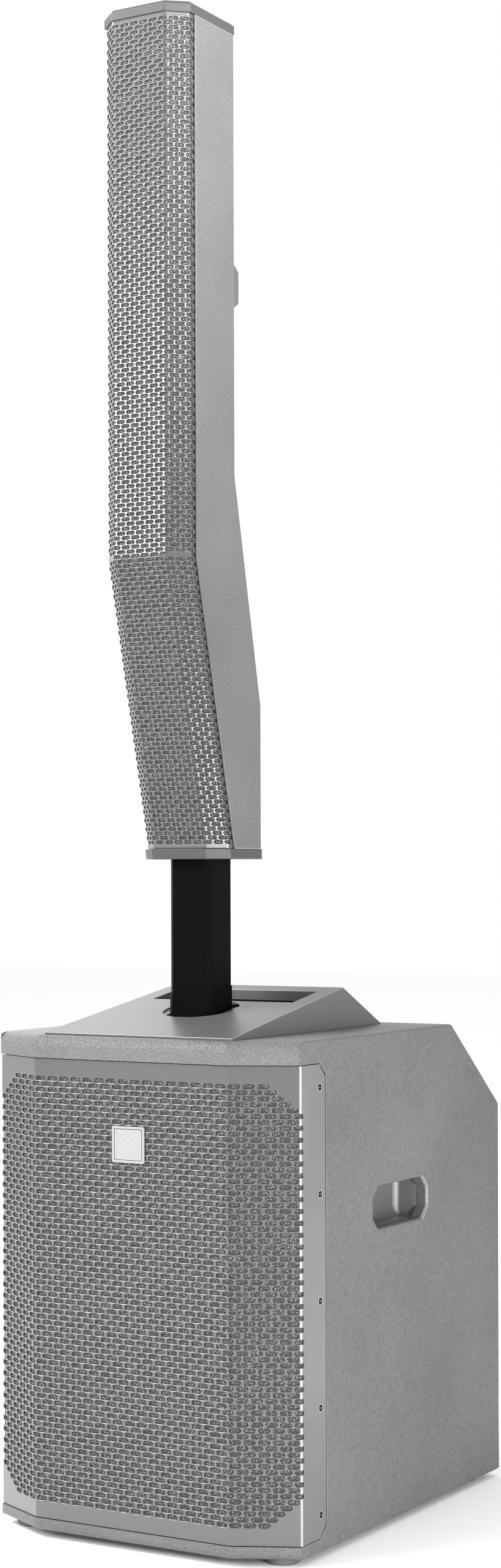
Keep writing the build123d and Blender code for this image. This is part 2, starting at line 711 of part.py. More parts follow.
# ---------------------------------------------------------------- control plate and its parts

PLATE_FACE = SLANT.offset(-1.0)
PLATE_BACK = SLANT.offset(-1.0 - PLATE)
COMBO_PLACES = ((-112, -16), (-66, -16))
LEVEL_PLACES = ((-112, 34), (-66, 34))
LINK_PLACE = (26, -22)
PHONO_PLACES = ((-20, -10), (-20, -34))
DISPLAY_PLACE = (48, 26)
DISPLAY_X, DISPLAY_Y = 64.0, 36.0
ENCODER_PLACE = (112, 26)
SOCKET_BODY, SOCKET_HOLE = 12.0, 12.2  # radius of the round connectors and of their holes
FACE_X, FACE_Y, FACE = 26.0, 31.0, 1.6  # their rectangular faces
JACK_RADIUS = 3.25
SHAFT_RADIUS, SHAFT_HOLE = 3.0, 4.0
TAB_X, TAB_Y, TAB_UP = 8.0, 2.8, 13.0
TAB_PLACES = [(x, y + TAB_UP) for x, y in COMBO_PLACES]

with BuildPart() as control_plate:
    with BuildSketch(PLATE_BACK):
        RectangleRounded(PLATE_X - 1, PLATE_Y - 1, 3)
        with Locations(*COMBO_PLACES, LINK_PLACE):
            Circle(SOCKET_HOLE, mode=Mode.SUBTRACT)
        with Locations(*TAB_PLACES):
            Rectangle(TAB_X + 1.0, TAB_Y + 1.2, mode=Mode.SUBTRACT)
        with Locations(*LEVEL_PLACES, ENCODER_PLACE):
            Circle(SHAFT_HOLE, mode=Mode.SUBTRACT)
        with Locations(*PHONO_PLACES):
            Circle(5.7, mode=Mode.SUBTRACT)
        with Locations(DISPLAY_PLACE):
            Rectangle(DISPLAY_X, DISPLAY_Y, mode=Mode.SUBTRACT)
        with Locations(*PLATE_SCREWS):
            Circle(1.8, mode=Mode.SUBTRACT)
    extrude(amount=PLATE)

with BuildPart() as display_window:
    with BuildSketch(PLATE_BACK):
        with Locations(DISPLAY_PLACE):
            Rectangle(DISPLAY_X - 0.4, DISPLAY_Y - 0.4)
    extrude(amount=PLATE + 0.6)

with BuildPart() as combo_sockets:
    with BuildSketch(PLATE_FACE):
        with Locations(*COMBO_PLACES):
            RectangleRounded(FACE_X, FACE_Y, 2)
    extrude(amount=FACE)
    with BuildSketch(PLATE_FACE.offset(-30)):
        with Locations(*COMBO_PLACES):
            Circle(SOCKET_BODY)
    extrude(amount=30)
    with BuildSketch(PLATE_FACE.offset(-26)):
        with Locations(*COMBO_PLACES):
            Circle(JACK_RADIUS)
    extrude(amount=30, mode=Mode.SUBTRACT)
    with BuildSketch(PLATE_FACE.offset(-13)):
        for centre in COMBO_PLACES:
            with Locations(centre):
                with PolarLocations(7.2, 3, start_angle=90):
                    Circle(1.35)
    extrude(amount=16, mode=Mode.SUBTRACT)
    with BuildSketch(PLATE_FACE.offset(-9)):
        with Locations(*TAB_PLACES):
            Rectangle(TAB_X + 0.6, TAB_Y + 0.6)
    extrude(amount=12, mode=Mode.SUBTRACT)


def latch_tab(place):
    """The push tab at the top of one combo socket, which frees a locked plug."""
    with BuildPart() as tab:
        with BuildSketch(PLATE_FACE.offset(-3.5)):
            with Locations(place):
                Rectangle(TAB_X, TAB_Y)
        extrude(amount=7.6)
    return tab


combo_tab_1 = latch_tab(TAB_PLACES[0])
combo_tab_2 = latch_tab(TAB_PLACES[1])

with BuildPart() as link_socket:
    with BuildSketch(PLATE_FACE):
        with Locations(LINK_PLACE):
            RectangleRounded(FACE_X, FACE_Y, 2)
    extrude(amount=FACE)
    with BuildSketch(PLATE_FACE.offset(-22)):
        with Locations(LINK_PLACE):
            Circle(SOCKET_BODY)
    extrude(amount=22)
    with BuildSketch(PLATE_FACE.offset(-14)):
        with Locations(LINK_PLACE):
            Circle(9.6)
            with PolarLocations(5.2, 3, start_angle=-90):
                Circle(1.2, mode=Mode.SUBTRACT)
    extrude(amount=16, mode=Mode.SUBTRACT)

with BuildPart() as phono_sockets:
    with BuildSketch(PLATE_FACE.offset(-14)):
        with Locations(*PHONO_PLACES):
            Circle(5.5)
    extrude(amount=14)
    with BuildSketch(PLATE_FACE):
        with Locations(*PHONO_PLACES):
            Circle(4.1)
    extrude(amount=8)
    with BuildSketch(PLATE_FACE.offset(-4)):
        with Locations(*PHONO_PLACES):
            Circle(1.6)
    extrude(amount=14, mode=Mode.SUBTRACT)


def fluted_knob(plane, place, radius, height, flutes):
    """A round knob with a fluted grip and a pointer groove, standing off the control plate."""
    with BuildPart() as knob:
        with BuildSketch(plane):
            with Locations(place):
                Circle(radius)
                with PolarLocations(radius + 0.5, flutes):
                    Circle(1.1, mode=Mode.SUBTRACT)
        extrude(amount=height)
        with BuildSketch(plane):
            with Locations(place):
                Circle(radius + 1.2)
        extrude(amount=2)
        flats = knob.faces().filter_by(GeomType.PLANE)
        end_face = flats.sort_by(lambda f: plane.to_local_coords(f.center()).Z)[-1]
        chamfer(end_face.outer_wire().edges(), 0.4)
        with BuildSketch(plane.offset(height)):
            with Locations((place[0], place[1] + radius * 0.55)):
                Rectangle(1.0, radius * 0.6)
        extrude(amount=-0.6, mode=Mode.SUBTRACT)
    return knob


def level_knob(place):
    """A level control: its knob and the shaft that runs back through the control plate."""
    plane = PLATE_FACE.offset(0.8)
    with BuildPart() as piece:
        add(fluted_knob(plane, place, 7.5, 13, 18).part)
        with BuildSketch(plane.offset(-9)):
            with Locations(place):
                Circle(SHAFT_RADIUS)
        extrude(amount=10)
    return piece


level_knob_1 = level_knob(LEVEL_PLACES[0])
level_knob_2 = level_knob(LEVEL_PLACES[1])

with BuildPart() as encoder_shaft:
    with BuildSketch(PLATE_FACE.offset(-10)):
        with Locations(ENCODER_PLACE):
            Circle(SHAFT_RADIUS)
    extrude(amount=18)

ENCODER_PLANE = PLATE_FACE.offset(1.4)

with BuildPart() as encoder_knob:
    add(fluted_knob(ENCODER_PLANE, ENCODER_PLACE, 12.0, 14, 28).part)
    with BuildSketch(ENCODER_PLANE.offset(-0.5)):
        with Locations(ENCODER_PLACE):
            Circle(SHAFT_RADIUS + 0.05)
    extrude(amount=7.5, mode=Mode.SUBTRACT)

with BuildPart() as panel_screws:
    with BuildSketch(PLATE_FACE):
        with Locations(*PLATE_SCREWS):
            Circle(2.9)
    extrude(amount=1.4)
    with BuildSketch(PLATE_FACE.offset(-12)):
        with Locations(*PLATE_SCREWS):
            Circle(SCREW_RADIUS)
    extrude(amount=12)
    with BuildSketch(PLATE_FACE.offset(1.4)):
        with Locations(*PLATE_SCREWS):
            Rectangle(3.6, 0.8)
            Rectangle(0.8, 3.6)
    extrude(amount=-0.8, mode=Mode.SUBTRACT)

# ---------------------------------------------------------------- heatsink, inlet and switch

SINK_FACE = BACK - PANEL  # outer face of the heatsink's base plate
SINK_BASE = 5.0
SINK_HALF, SINK_LOW, SINK_HIGH = 130.0, 175.0, 425.0
FIN_LOW, FIN_HIGH, FIN_HALF = 246.0, 410.0, 112.0
FIN_COUNT, FIN, FIN_OUT = 17, 2.4, 13.5
INLET_X, INLET_Z = 62.0, 214.0
INLET_BODY_X, INLET_BODY_Z = 28.0, 22.0
SWITCH_X, SWITCH_Z = -2.0, 214.0
SWITCH_BODY_X, SWITCH_BODY_Z = 22.0, 30.0
CUTOUT = 0.4  # how much larger the heatsink's two cut-outs are
PIN_PLACES = ((-INLET_X - 7, INLET_Z - 2), (-INLET_X, INLET_Z + 2), (-INLET_X + 7, INLET_Z - 2))
REAR = Plane(origin=(0, SINK_FACE, 0), x_dir=(-1, 0, 0), z_dir=(0, 1, 0))

with BuildPart() as heatsink:
    with BuildSketch(REAR.offset(-SINK_BASE)):
        with Locations((0, (SINK_LOW + SINK_HIGH) / 2)):
            Rectangle(2 * SINK_HALF, SINK_HIGH - SINK_LOW)
        with Locations((-INLET_X, INLET_Z)):
            Rectangle(INLET_BODY_X + CUTOUT, INLET_BODY_Z + CUTOUT, mode=Mode.SUBTRACT)
        with Locations((-SWITCH_X, SWITCH_Z)):
            Rectangle(SWITCH_BODY_X + CUTOUT, SWITCH_BODY_Z + CUTOUT, mode=Mode.SUBTRACT)
    extrude(amount=SINK_BASE)
    with BuildSketch(REAR):
        with Locations((0, (FIN_LOW + FIN_HIGH) / 2)):
            with GridLocations(2 * FIN_HALF / (FIN_COUNT - 1), 1, FIN_COUNT, 1):
                Rectangle(FIN, FIN_HIGH - FIN_LOW)
    extrude(amount=FIN_OUT)

with BuildPart() as mains_inlet:
    with BuildSketch(REAR):
        with Locations((-INLET_X, INLET_Z)):
            RectangleRounded(50, 28, 3)
    extrude(amount=3)
    with BuildSketch(REAR.offset(-24)):
        with Locations((-INLET_X, INLET_Z)):
            Rectangle(INLET_BODY_X, INLET_BODY_Z)
    extrude(amount=24)
    with BuildSketch(REAR.offset(-17)):
        with Locations((-INLET_X, INLET_Z)):
            Rectangle(24.4, 16.6)
    extrude(amount=21, mode=Mode.SUBTRACT)

with BuildPart() as mains_pins:
    with BuildSketch(REAR.offset(-19)):
        with Locations(*PIN_PLACES):
            Rectangle(2.0, 4.0)
    extrude(amount=15.5)

with BuildPart() as socketed_inlet:
    add(mains_inlet.part)
    add(mains_pins.part, mode=Mode.SUBTRACT)

# The rocker turns on two short pins and rests tipped towards its lower end, which is off.
ROCKER_TIP = 9.0
ROCKER_WIDTH = 16.0
ROCKER_PIVOT = (SWITCH_X, SINK_FACE - 3.0, SWITCH_Z)
PIVOT_RADIUS, PIVOT_LENGTH = 1.5, 19.0

with BuildPart() as switch_bezel:
    with BuildSketch(REAR):
        with Locations((-SWITCH_X, SWITCH_Z)):
            RectangleRounded(27, 35, 2)
    extrude(amount=2)
    with BuildSketch(REAR.offset(-20)):
        with Locations((-SWITCH_X, SWITCH_Z)):
            Rectangle(SWITCH_BODY_X, SWITCH_BODY_Z)
    extrude(amount=20)
    with BuildSketch(REAR.offset(-12)):
        with Locations((-SWITCH_X, SWITCH_Z)):
            Rectangle(ROCKER_WIDTH + 0.6, 26.6)
    extrude(amount=16, mode=Mode.SUBTRACT)
    with Locations(ROCKER_PIVOT):
        Cylinder(PIVOT_RADIUS + 0.05, PIVOT_LENGTH + 0.6, rotation=(0, 90, 0), mode=Mode.SUBTRACT)

with BuildPart() as power_rocker_local:
    with BuildSketch(Plane.YZ.offset(-ROCKER_WIDTH / 2)):
        lower = [(-5, -6), (0, -7), (4.6, -12.0), (6.4, -12.0), (4.2, 0)]
        polygon(lower + [(y, -z) for y, z in reversed(lower[:-1])])
    extrude(amount=ROCKER_WIDTH)
    Cylinder(PIVOT_RADIUS, PIVOT_LENGTH, rotation=(0, 90, 0))

with BuildPart() as power_rocker:
    with Locations(Location(ROCKER_PIVOT, (-ROCKER_TIP, 0, 0))):
        add(power_rocker_local.part)

COVER_FRONT, COVER_WALL = 150.0, 2.0
COVER_HALF, COVER_LOW, COVER_HIGH = 126.0, 179.0, 421.0
SINK_BACK = SINK_FACE - SINK_BASE

with BuildPart() as amplifier_cover:
    box_between((-COVER_HALF, COVER_FRONT, COVER_LOW), (COVER_HALF, SINK_BACK, COVER_HIGH))
    box_between(
        (COVER_WALL - COVER_HALF, COVER_FRONT + COVER_WALL, COVER_LOW + COVER_WALL),
        (COVER_HALF - COVER_WALL, SINK_FACE, COVER_HIGH - COVER_WALL),
        Mode.SUBTRACT,
    )

with BuildPart() as amplifier_boards:
    # Output board, with its transistors clamped to the heatsink and two coils
    box_between((-100, SINK_BACK - 24, 300), (100, SINK_BACK - 22, 410))
    with Locations(*[(x, SINK_BACK - 22, 330) for x in range(-75, 76, 30)]):
        Box(16, 22, 20, align=(Align.CENTER, Align.MIN, Align.CENTER))
    with Locations((-60, SINK_BACK - 24, 380), (60, SINK_BACK - 24, 380)):
        Cylinder(15, 20, rotation=(90, 0, 0), align=OUTWARDS)
    # Power board, with its transformer and two capacitors
    box_between((-110, COVER_FRONT + 8, 190), (110, COVER_FRONT + 10, 290))
    with Locations((-50, COVER_FRONT + 10, 255)):
        Box(58, 40, 54, align=(Align.CENTER, Align.MIN, Align.CENTER))
    with Locations((20, COVER_FRONT + 10, 268), (52, COVER_FRONT + 10, 268)):
        Cylinder(13, 36, rotation=(-90, 0, 0), align=OUTWARDS)

# ================================================================ pole



def pole_bore():
    """The rounded inside of the pole's tube in plan."""
    with Locations((0, POLE_CENTRE_Y)):
        RectangleRounded(POLE_X - 2 * POLE_WALL, POLE_Y - 2 * POLE_WALL, 5)


with BuildPart() as pole_tube:
    with BuildSketch(Plane.XY.offset(POLE_BOTTOM + PLUG_CAP)):
        pole_outline(0)
    extrude(amount=POLE_TOP - POLE_BOTTOM - 2 * PLUG_CAP)
    with BuildSketch(Plane.XY.offset(POLE_BOTTOM)):
        pole_bore()
    extrude(amount=POLE_TOP - POLE_BOTTOM, mode=Mode.SUBTRACT)
    pole_front = POLE_CENTRE_Y - POLE_Y / 2
    box_between(
        (POLE_CHAMFER - POLE_X / 2, pole_front - 1, COL_BOTTOM - NOTCH_HEIGHT),
        (POLE_X / 2 - POLE_CHAMFER, pole_front + NOTCH_DEPTH, COL_BOTTOM),
        Mode.SUBTRACT,
    )


# A moulded plug in each end: a cap with the pole's section, and a spigot inside the tube
PLUG_CAPS = (POLE_BOTTOM, POLE_TOP - PLUG_CAP)
PLUG_SPIGOTS = (POLE_BOTTOM + PLUG_CAP, POLE_TOP - PLUG_CAP - PLUG_SPIGOT)

with BuildPart() as pole_plugs:
    for low in PLUG_CAPS:
        with BuildSketch(Plane.XY.offset(low)):
            pole_outline(0)
        extrude(amount=PLUG_CAP)
    for low in PLUG_SPIGOTS:
        with BuildSketch(Plane.XY.offset(low)):
            pole_bore()
        extrude(amount=PLUG_SPIGOT)
    box_between(
        (-12, POLE_CENTRE_Y - 6, POLE_BOTTOM - 1), (12, POLE_CENTRE_Y + 6, POLE_TOP + 1), Mode.SUBTRACT
    )

with BuildPart() as pole_contacts:
    box_between((-11.8, POLE_CENTRE_Y - 5.8, POLE_BOTTOM + 3), (11.8, POLE_CENTRE_Y + 5.8, POLE_BOTTOM + 20))
    box_between((-11.8, POLE_CENTRE_Y - 5.8, POLE_TOP - 20), (11.8, POLE_CENTRE_Y + 5.8, POLE_TOP - 3))
    box_between((-4, POLE_CENTRE_Y - 1.5, POLE_BOTTOM + 20), (4, POLE_CENTRE_Y + 1.5, POLE_TOP - 20))

# ================================================================ column


def leaning(y, z):
    """Y of a front plane that stands at y above the bend, at height z."""
    return y + max(0.0, COL_BEND - z) * LEAN


def column_side_view(front, grow, low, high):
    """The column's outline seen from the side, its rear faces moved inwards by grow."""
    polygon(
        [
            (leaning(front, low), low),
            (COL_BACK_LOWER - grow, low),
            (COL_BACK_LOWER - grow, BACK_BEND_LOW),
            (COL_BACK_UPPER - grow, BACK_BEND_HIGH),
            (COL_BACK_UPPER - grow, high),
            (front, high),
            (front, COL_BEND),
        ]
    )


BODY_LOW, BODY_HIGH = COL_BOTTOM + CAP_LOWER, COL_TOP - CAP_UPPER



def long_side_edges(behind_front):
    """The body's long outer edges: along its front, or those clear behind it."""
    outer_edges = column_body.edges().filter_by(
        lambda e: abs(abs(e.center().X) - COL_HALF) < 0.01 and e.length > 150
    )
    return outer_edges.filter_by(
        lambda e: (e.center().Y > leaning(COL_BODY_FRONT, e.center().Z) + 30) == behind_front
    )


with BuildPart() as column_body:
    with BuildSketch(Plane.YZ.offset(-COL_HALF)):
        column_side_view(COL_BODY_FRONT, 0, BODY_LOW, BODY_HIGH)
    extrude(amount=2 * COL_HALF)
    fillet(long_side_edges(True), 4.0)
    with BuildSketch(Plane.YZ.offset(-COL_HALF + COL_WALL)):
        column_side_view(COL_BODY_FRONT - 1, COL_WALL + 0.5, BODY_LOW - 1, BODY_HIGH + 1)
    extrude(amount=2 * (COL_HALF - COL_WALL), mode=Mode.SUBTRACT)
    fillet(long_side_edges(False), 1.6)


def column_front(inset, rear):
    """Right-half path of the column's faceted front, moved inwards by inset."""
    return faceted_half(COL_FLAT_HALF, COL_FRONT, COL_FOLD_HALF, COL_FRONT + COL_FACET_BACK, rear, inset)


def bent_sheet(outer, inner, low, high):
    """A bent strip that follows the column's front through the bend."""
    with BuildSketch(Plane.XY.offset(COL_BEND)) as section:
        polygon(sheet_outline(outer, inner))
    extrude(section.sketch, amount=high - COL_BEND)
    extrude(section.sketch, amount=(COL_BEND - low) / cos(TILT), dir=DOWN_SLOPE)


COL_SHEET = 1.2

with BuildPart() as column_grille:
    flange_end = COL_FRONT + COL_FACET_BACK + COL_FLANGE
    outer = column_front(0, flange_end)
    inner = column_front(COL_SHEET, flange_end)
    bent_sheet(outer, inner, BODY_LOW + 0.2, BODY_HIGH - 0.2)

with BuildPart() as column_grille_foam:
    outer = column_front(COL_SHEET + 0.2, 0)[:3]
    inner = column_front(COL_SHEET + 0.2 + COL_FOAM, 0)[:3]
    bent_sheet(outer, inner, BODY_LOW + 1, BODY_HIGH - 1)

# ---------------------------------------------------------------- column baffle and drivers

BAFFLE_LOW = 814.0
LEDGE_FRONT, LEDGE_BACK, LEDGE = -20.0, 6.5, 2.6  # room beside the baffle for the grille's flanges


def front_place(distance, drop):
    """A plane on the baffle's front face: distance above the bend, or drop down the lean."""
    if drop:
        origin = (0, COL_BAFFLE_FRONT + drop * sin(TILT), COL_BEND - drop * cos(TILT))
        return Plane(origin=origin, x_dir=(1, 0, 0), z_dir=(0, -cos(TILT), -sin(TILT)))
    return Plane(origin=(0, COL_BAFFLE_FRONT, COL_BEND + distance), x_dir=(1, 0, 0), z_dir=(0, -1, 0))


UPPER_PLACES = [front_place(UPPER_FIRST + i * UPPER_PITCH, 0) for i in range(UPPER_DRIVERS)]
LOWER_PLACES = [front_place(0, LOWER_FIRST + i * LOWER_PITCH) for i in range(LOWER_DRIVERS)]
ALL_PLACES = UPPER_PLACES + LOWER_PLACES

with BuildPart() as column_baffle:
    with BuildSketch(Plane.YZ.offset(-COL_HALF + COL_WALL + 0.2)):
        polygon(
            [
                (COL_BAFFLE_FRONT, BODY_HIGH - 1),
                (COL_BAFFLE_FRONT, COL_BEND),
                (leaning(COL_BAFFLE_FRONT, BAFFLE_LOW), BAFFLE_LOW),
                (leaning(COL_BAFFLE_FRONT, BAFFLE_LOW) + COL_BAFFLE, BAFFLE_LOW),
                (COL_BAFFLE_FRONT + COL_BAFFLE, COL_BEND),
                (COL_BAFFLE_FRONT + COL_BAFFLE, BODY_HIGH - 1),
            ]
        )
    extrude(amount=2 * (COL_HALF - COL_WALL - 0.2))
    with Locations(*ALL_PLACES):
        Cylinder(DRIVER_RADIUS - 5, 40, mode=Mode.SUBTRACT)
    for side in (-1, 1):
        with BuildSketch(Plane.YZ.offset(side * (COL_HALF - COL_WALL + 0.3))):
            polygon(
                [
                    (COL_BAFFLE_FRONT + LEDGE_FRONT, BODY_HIGH + 1),
                    (COL_BAFFLE_FRONT + LEDGE_FRONT, COL_BEND),
                    (leaning(COL_BAFFLE_FRONT + LEDGE_FRONT, BODY_LOW), BODY_LOW),
                    (leaning(COL_BAFFLE_FRONT + LEDGE_BACK, BODY_LOW), BODY_LOW),
                    (COL_BAFFLE_FRONT + LEDGE_BACK, COL_BEND),
                    (COL_BAFFLE_FRONT + LEDGE_BACK, BODY_HIGH + 1),
                ]
            )
        extrude(amount=-side * LEDGE, mode=Mode.SUBTRACT)

with BuildPart() as driver_frame_local:
    turned(
        [
            (DRIVER_RADIUS, 0),
            (DRIVER_RADIUS, 3),
            (DRIVER_RADIUS - 7, 3),
            (DRIVER_RADIUS - 7, -6),
            (21, -27),
            (14.5, -27),
            (14.5, -29),
            (22.5, -29),
            (DRIVER_RADIUS - 5.3, -7),
            (DRIVER_RADIUS - 5.3, 0),
        ]
    )

with BuildPart() as driver_magnet_local:
    turned(
        [(13.2, -29), (20, -29), (20, -46), (4, -46), (4, -29), (11.4, -29), (11.4, -42), (13.2, -42)]
    )

# Cone, dust cap, surround and voice coil former of a small driver
with BuildPart() as driver_cone_local:
    turned(
        [
            (0, -7.6),
            (9, -9.6),
            (15.5, -15.4),
            (32.2, -3),
            (33.5, -1.2),
            (35.5, -0.4),
            (37.4, -1.4),
            (38.6, -1.4),
            (38.6, -2.4),
            (37.2, -2.4),
            (35.5, -1.6),
            (34.2, -2.2),
            (33, -4.2),
            (12.6, -19.4),
            (12.6, -34),
            (11.8, -34),
            (11.8, -18.2),
            (14.2, -16.6),
            (8.6, -10.9),
            (0, -8.8),
        ]
    )

driver_frames = seated(driver_frame_local.part, *ALL_PLACES)
driver_magnets = seated(driver_magnet_local.part, *ALL_PLACES)
upper_cones = seated(driver_cone_local.part, *UPPER_PLACES)
lower_cones = seated(driver_cone_local.part, *LOWER_PLACES)

# ---------------------------------------------------------------- caps, grip and socket


CAP_PROUD = 1.9  # how far the top cap stands out in front of the grille


def cap_plan(flat_y, side_y, rear_y, flat_half):
    """A cap's faceted outline in plan."""
    polygon(mirrored([(flat_half, flat_y), (COL_HALF, side_y), (COL_HALF, rear_y)]))


with BuildPart() as column_top_cap:
    with BuildSketch(Plane.XY.offset(BODY_HIGH)):
        cap_plan(COL_FRONT - CAP_PROUD, -220.4, COL_BACK_UPPER, COL_FLAT_HALF)
    extrude(amount=CAP_UPPER)
    chamfer(column_top_cap.edges().group_by(Axis.Z)[-1], 3.0)
    box_between((-52, -204, BODY_HIGH - 1), (52, -134, BODY_HIGH + 6), Mode.SUBTRACT)

with BuildPart() as column_bottom_cap:
    with BuildSketch(Plane.XY.offset(BODY_LOW)):
        cap_plan(-162.0, -141.4, 0, 35.5)
    extrude(amount=CAP_LOWER / cos(TILT), dir=DOWN_SLOPE)
    box_between(
        (-COL_HALF, COL_FRONT, COL_BOTTOM), (COL_HALF, COL_BACK_LOWER, BODY_LOW), Mode.INTERSECT
    )
    with BuildSketch(Plane.XY.offset(COL_BOTTOM - 1)):
        pole_outline(SLIP)
    extrude(amount=CAP_LOWER + 2, mode=Mode.SUBTRACT)

GRIP_HALF = 52.0
GRIP_OUT = 19.5
GRIP_LOW, GRIP_HIGH = 1384.5, 1443.0

with BuildPart() as column_grip:
    with BuildSketch(Plane.YZ.offset(-GRIP_HALF)):
        polygon(
            [
                (COL_BACK_UPPER, GRIP_LOW),
                (COL_BACK_UPPER + GRIP_OUT, GRIP_LOW + 13.5),
                (COL_BACK_UPPER + GRIP_OUT, GRIP_HIGH - 14.0),
                (COL_BACK_UPPER, GRIP_HIGH),
            ]
        )
    extrude(amount=2 * GRIP_HALF)
    chamfer(column_grip.edges().filter_by(Axis.Z).group_by(Axis.Y)[-1], 3.0)
    with BuildSketch(Plane.XY.offset(GRIP_LOW - 4.5)):
        with Locations((0, COL_BACK_UPPER + 6)):
            RectangleRounded(76, 15, 5)
    extrude(amount=36, mode=Mode.SUBTRACT)

SOCKET_ROOF = POLE_TOP + SLIP

with BuildPart() as column_socket:
    with BuildSketch(Plane.XY.offset(BODY_LOW)):
        polygon(mirrored([(32, -146), (53, -126), (53, -75)]))
    extrude(amount=SOCKET_ROOF + 3 - BODY_LOW)
    with BuildSketch(Plane.XY.offset(BODY_LOW - 1)):
        pole_outline(SLIP)
    extrude(amount=SOCKET_ROOF - BODY_LOW + 1, mode=Mode.SUBTRACT)
    box_between(
        (-11, POLE_CENTRE_Y - 5, SOCKET_ROOF - 1), (11, POLE_CENTRE_Y + 5, SOCKET_ROOF + 5), Mode.SUBTRACT
    )

with BuildPart() as column_contacts:
    box_between(
        (-10.8, POLE_CENTRE_Y - 4.8, SOCKET_ROOF - 0.5), (10.8, POLE_CENTRE_Y + 4.8, SOCKET_ROOF + 10)
    )

# ================================================================ export

pieces = {
    "top_panel": top_panel,
    "bottom_panel": drilled_bottom,
    "side_panel_left": side_panel_left,
    "side_panel_right": side_panel_right,
    "rear_panel": rear_panel,
    "bevel_panel": bevel_panel,
    "front_baffle": drilled_baffle,
    "sub_grille": sub_grille,
    "sub_grille_foam": sub_grille_foam,
    "grille_screws": grille_screws,
    "badge": badge,
    "side_cup_left": side_cup_left,
    "side_cup_right": side_cup_right,
    "rubber_feet": rubber_feet,
    "foot_screws": foot_screws,
    "top_moulding": top_moulding,
    "pole_socket": pole_socket,
    "socket_contacts": socket_contacts,
    "woofer_frame": woofer_frame,
    "woofer_magnet": woofer_magnet,
    "woofer_screws": woofer_screws,
    "woofer_cone": woofer_cone,
    "woofer_surround": woofer_surround,
    "port_tubes": port_tubes,
    "control_plate": control_plate,
    "display_window": display_window,
    "combo_sockets": combo_sockets,
    "combo_tab_1": combo_tab_1,
    "combo_tab_2": combo_tab_2,
    "link_socket": link_socket,
    "phono_sockets": phono_sockets,
    "level_knob_1": level_knob_1,
    "level_knob_2": level_knob_2,
    "encoder_shaft": encoder_shaft,
    "encoder_knob": encoder_knob,
    "panel_screws": panel_screws,
    "heatsink": heatsink,
    "mains_inlet": socketed_inlet,
    "mains_pins": mains_pins,
    "switch_bezel": switch_bezel,
    "power_rocker": power_rocker,
    "amplifier_cover": amplifier_cover,
    "amplifier_boards": amplifier_boards,
    "pole_tube": pole_tube,
    "pole_plugs": pole_plugs,
    "pole_contacts": pole_contacts,
    "column_body": column_body,
    "column_baffle": column_baffle,
    "column_grille": column_grille,
    "column_grille_foam": column_grille_foam,
    "column_top_cap": column_top_cap,
    "column_bottom_cap": column_bottom_cap,
    "column_grip": column_grip,
    "column_socket": column_socket,
    "column_contacts": column_contacts,
    "driver_frames": driver_frames,
    "driver_magnets": driver_magnets,
    "upper_cones": upper_cones,
    "lower_cones": lower_cones,
}
for label, piece in pieces.items():
    piece.part.label = label
    export_step(piece.part, f"parts/{label}.step")
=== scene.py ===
import bmesh
import bpy
import json
from math import atan2, cos, pi, radians, sin, sqrt, tan
from mathutils import Matrix, Vector


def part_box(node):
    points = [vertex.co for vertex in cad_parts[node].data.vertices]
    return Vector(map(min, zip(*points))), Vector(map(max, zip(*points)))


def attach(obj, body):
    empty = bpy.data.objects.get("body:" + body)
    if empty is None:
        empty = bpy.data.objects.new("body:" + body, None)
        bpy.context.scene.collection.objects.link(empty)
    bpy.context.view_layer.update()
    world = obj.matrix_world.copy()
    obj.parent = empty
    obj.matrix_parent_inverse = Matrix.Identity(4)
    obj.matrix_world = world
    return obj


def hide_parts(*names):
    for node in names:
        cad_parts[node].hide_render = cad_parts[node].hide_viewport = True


# A column loudspeaker: powered subwoofer, square pole and bent column. Metres, +Z up, front at -Y.
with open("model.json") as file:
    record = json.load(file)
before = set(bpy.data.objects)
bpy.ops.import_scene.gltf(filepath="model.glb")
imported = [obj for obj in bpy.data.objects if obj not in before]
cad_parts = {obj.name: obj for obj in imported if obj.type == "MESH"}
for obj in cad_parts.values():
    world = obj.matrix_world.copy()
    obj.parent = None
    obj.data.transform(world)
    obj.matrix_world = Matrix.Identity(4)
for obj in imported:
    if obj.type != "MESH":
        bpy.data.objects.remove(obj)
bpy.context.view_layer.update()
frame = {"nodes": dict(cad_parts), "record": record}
NODES = frame["nodes"]
SLOTS = {entry["node"]: entry["material_slot"] for entry in frame["record"]["subparts"]}
SUB, POLE, COLUMN = "subwoofer", "pole", "column"

# ---------------------------------------------------------------- sizes read from the frame


def low(node):
    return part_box(node)[0]


def high(node):
    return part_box(node)[1]


HALF = high("bottom_panel").x
FRONT = low("bottom_panel").y
BACK = high("bottom_panel").y
FLOOR = low("bottom_panel").z
TOP = high("top_panel").z
LIP_LOW = high("bottom_panel").z
LIP_HIGH = low("top_panel").z
PANEL = 0.015  # thickness of the cabinet's boards
FLAT = 0.1264  # half the width of the flat front, between the slanted facets
SIDE_FRONT = FRONT + 0.0352  # where the facets end and the sides start
SLANT_TOP_Y = BACK - 0.1299
SLANT_LOW_Z = TOP - 0.104

INSET = 0.0017  # the grille's face behind the front of the lips
SHEET = 0.0015  # its thickness
FLANGE_BACK = high("sub_grille").y
FLANGE_CUT_Y, FLANGE_CUT_Z = 0.013, 0.014  # the flange's cut corners
GROOVE = 0.0020  # gap round the flange
LIP_GAP = 0.0009  # gap between the grille and the lips
PAST = 0.01  # cutters reach so far past what they cut

# ---------------------------------------------------------------- materials


def link(tree, a, b):
    """Joins an output socket to an input socket."""
    tree.links.new(a, b)


def noise(tree, coords, scale, detail):
    """A noise texture in the object's own coordinates."""
    node = tree.nodes.new("ShaderNodeTexNoise")
    node.inputs["Scale"].default_value = scale
    node.inputs["Detail"].default_value = detail
    link(tree, coords.outputs["Object"], node.inputs["Vector"])
    return node


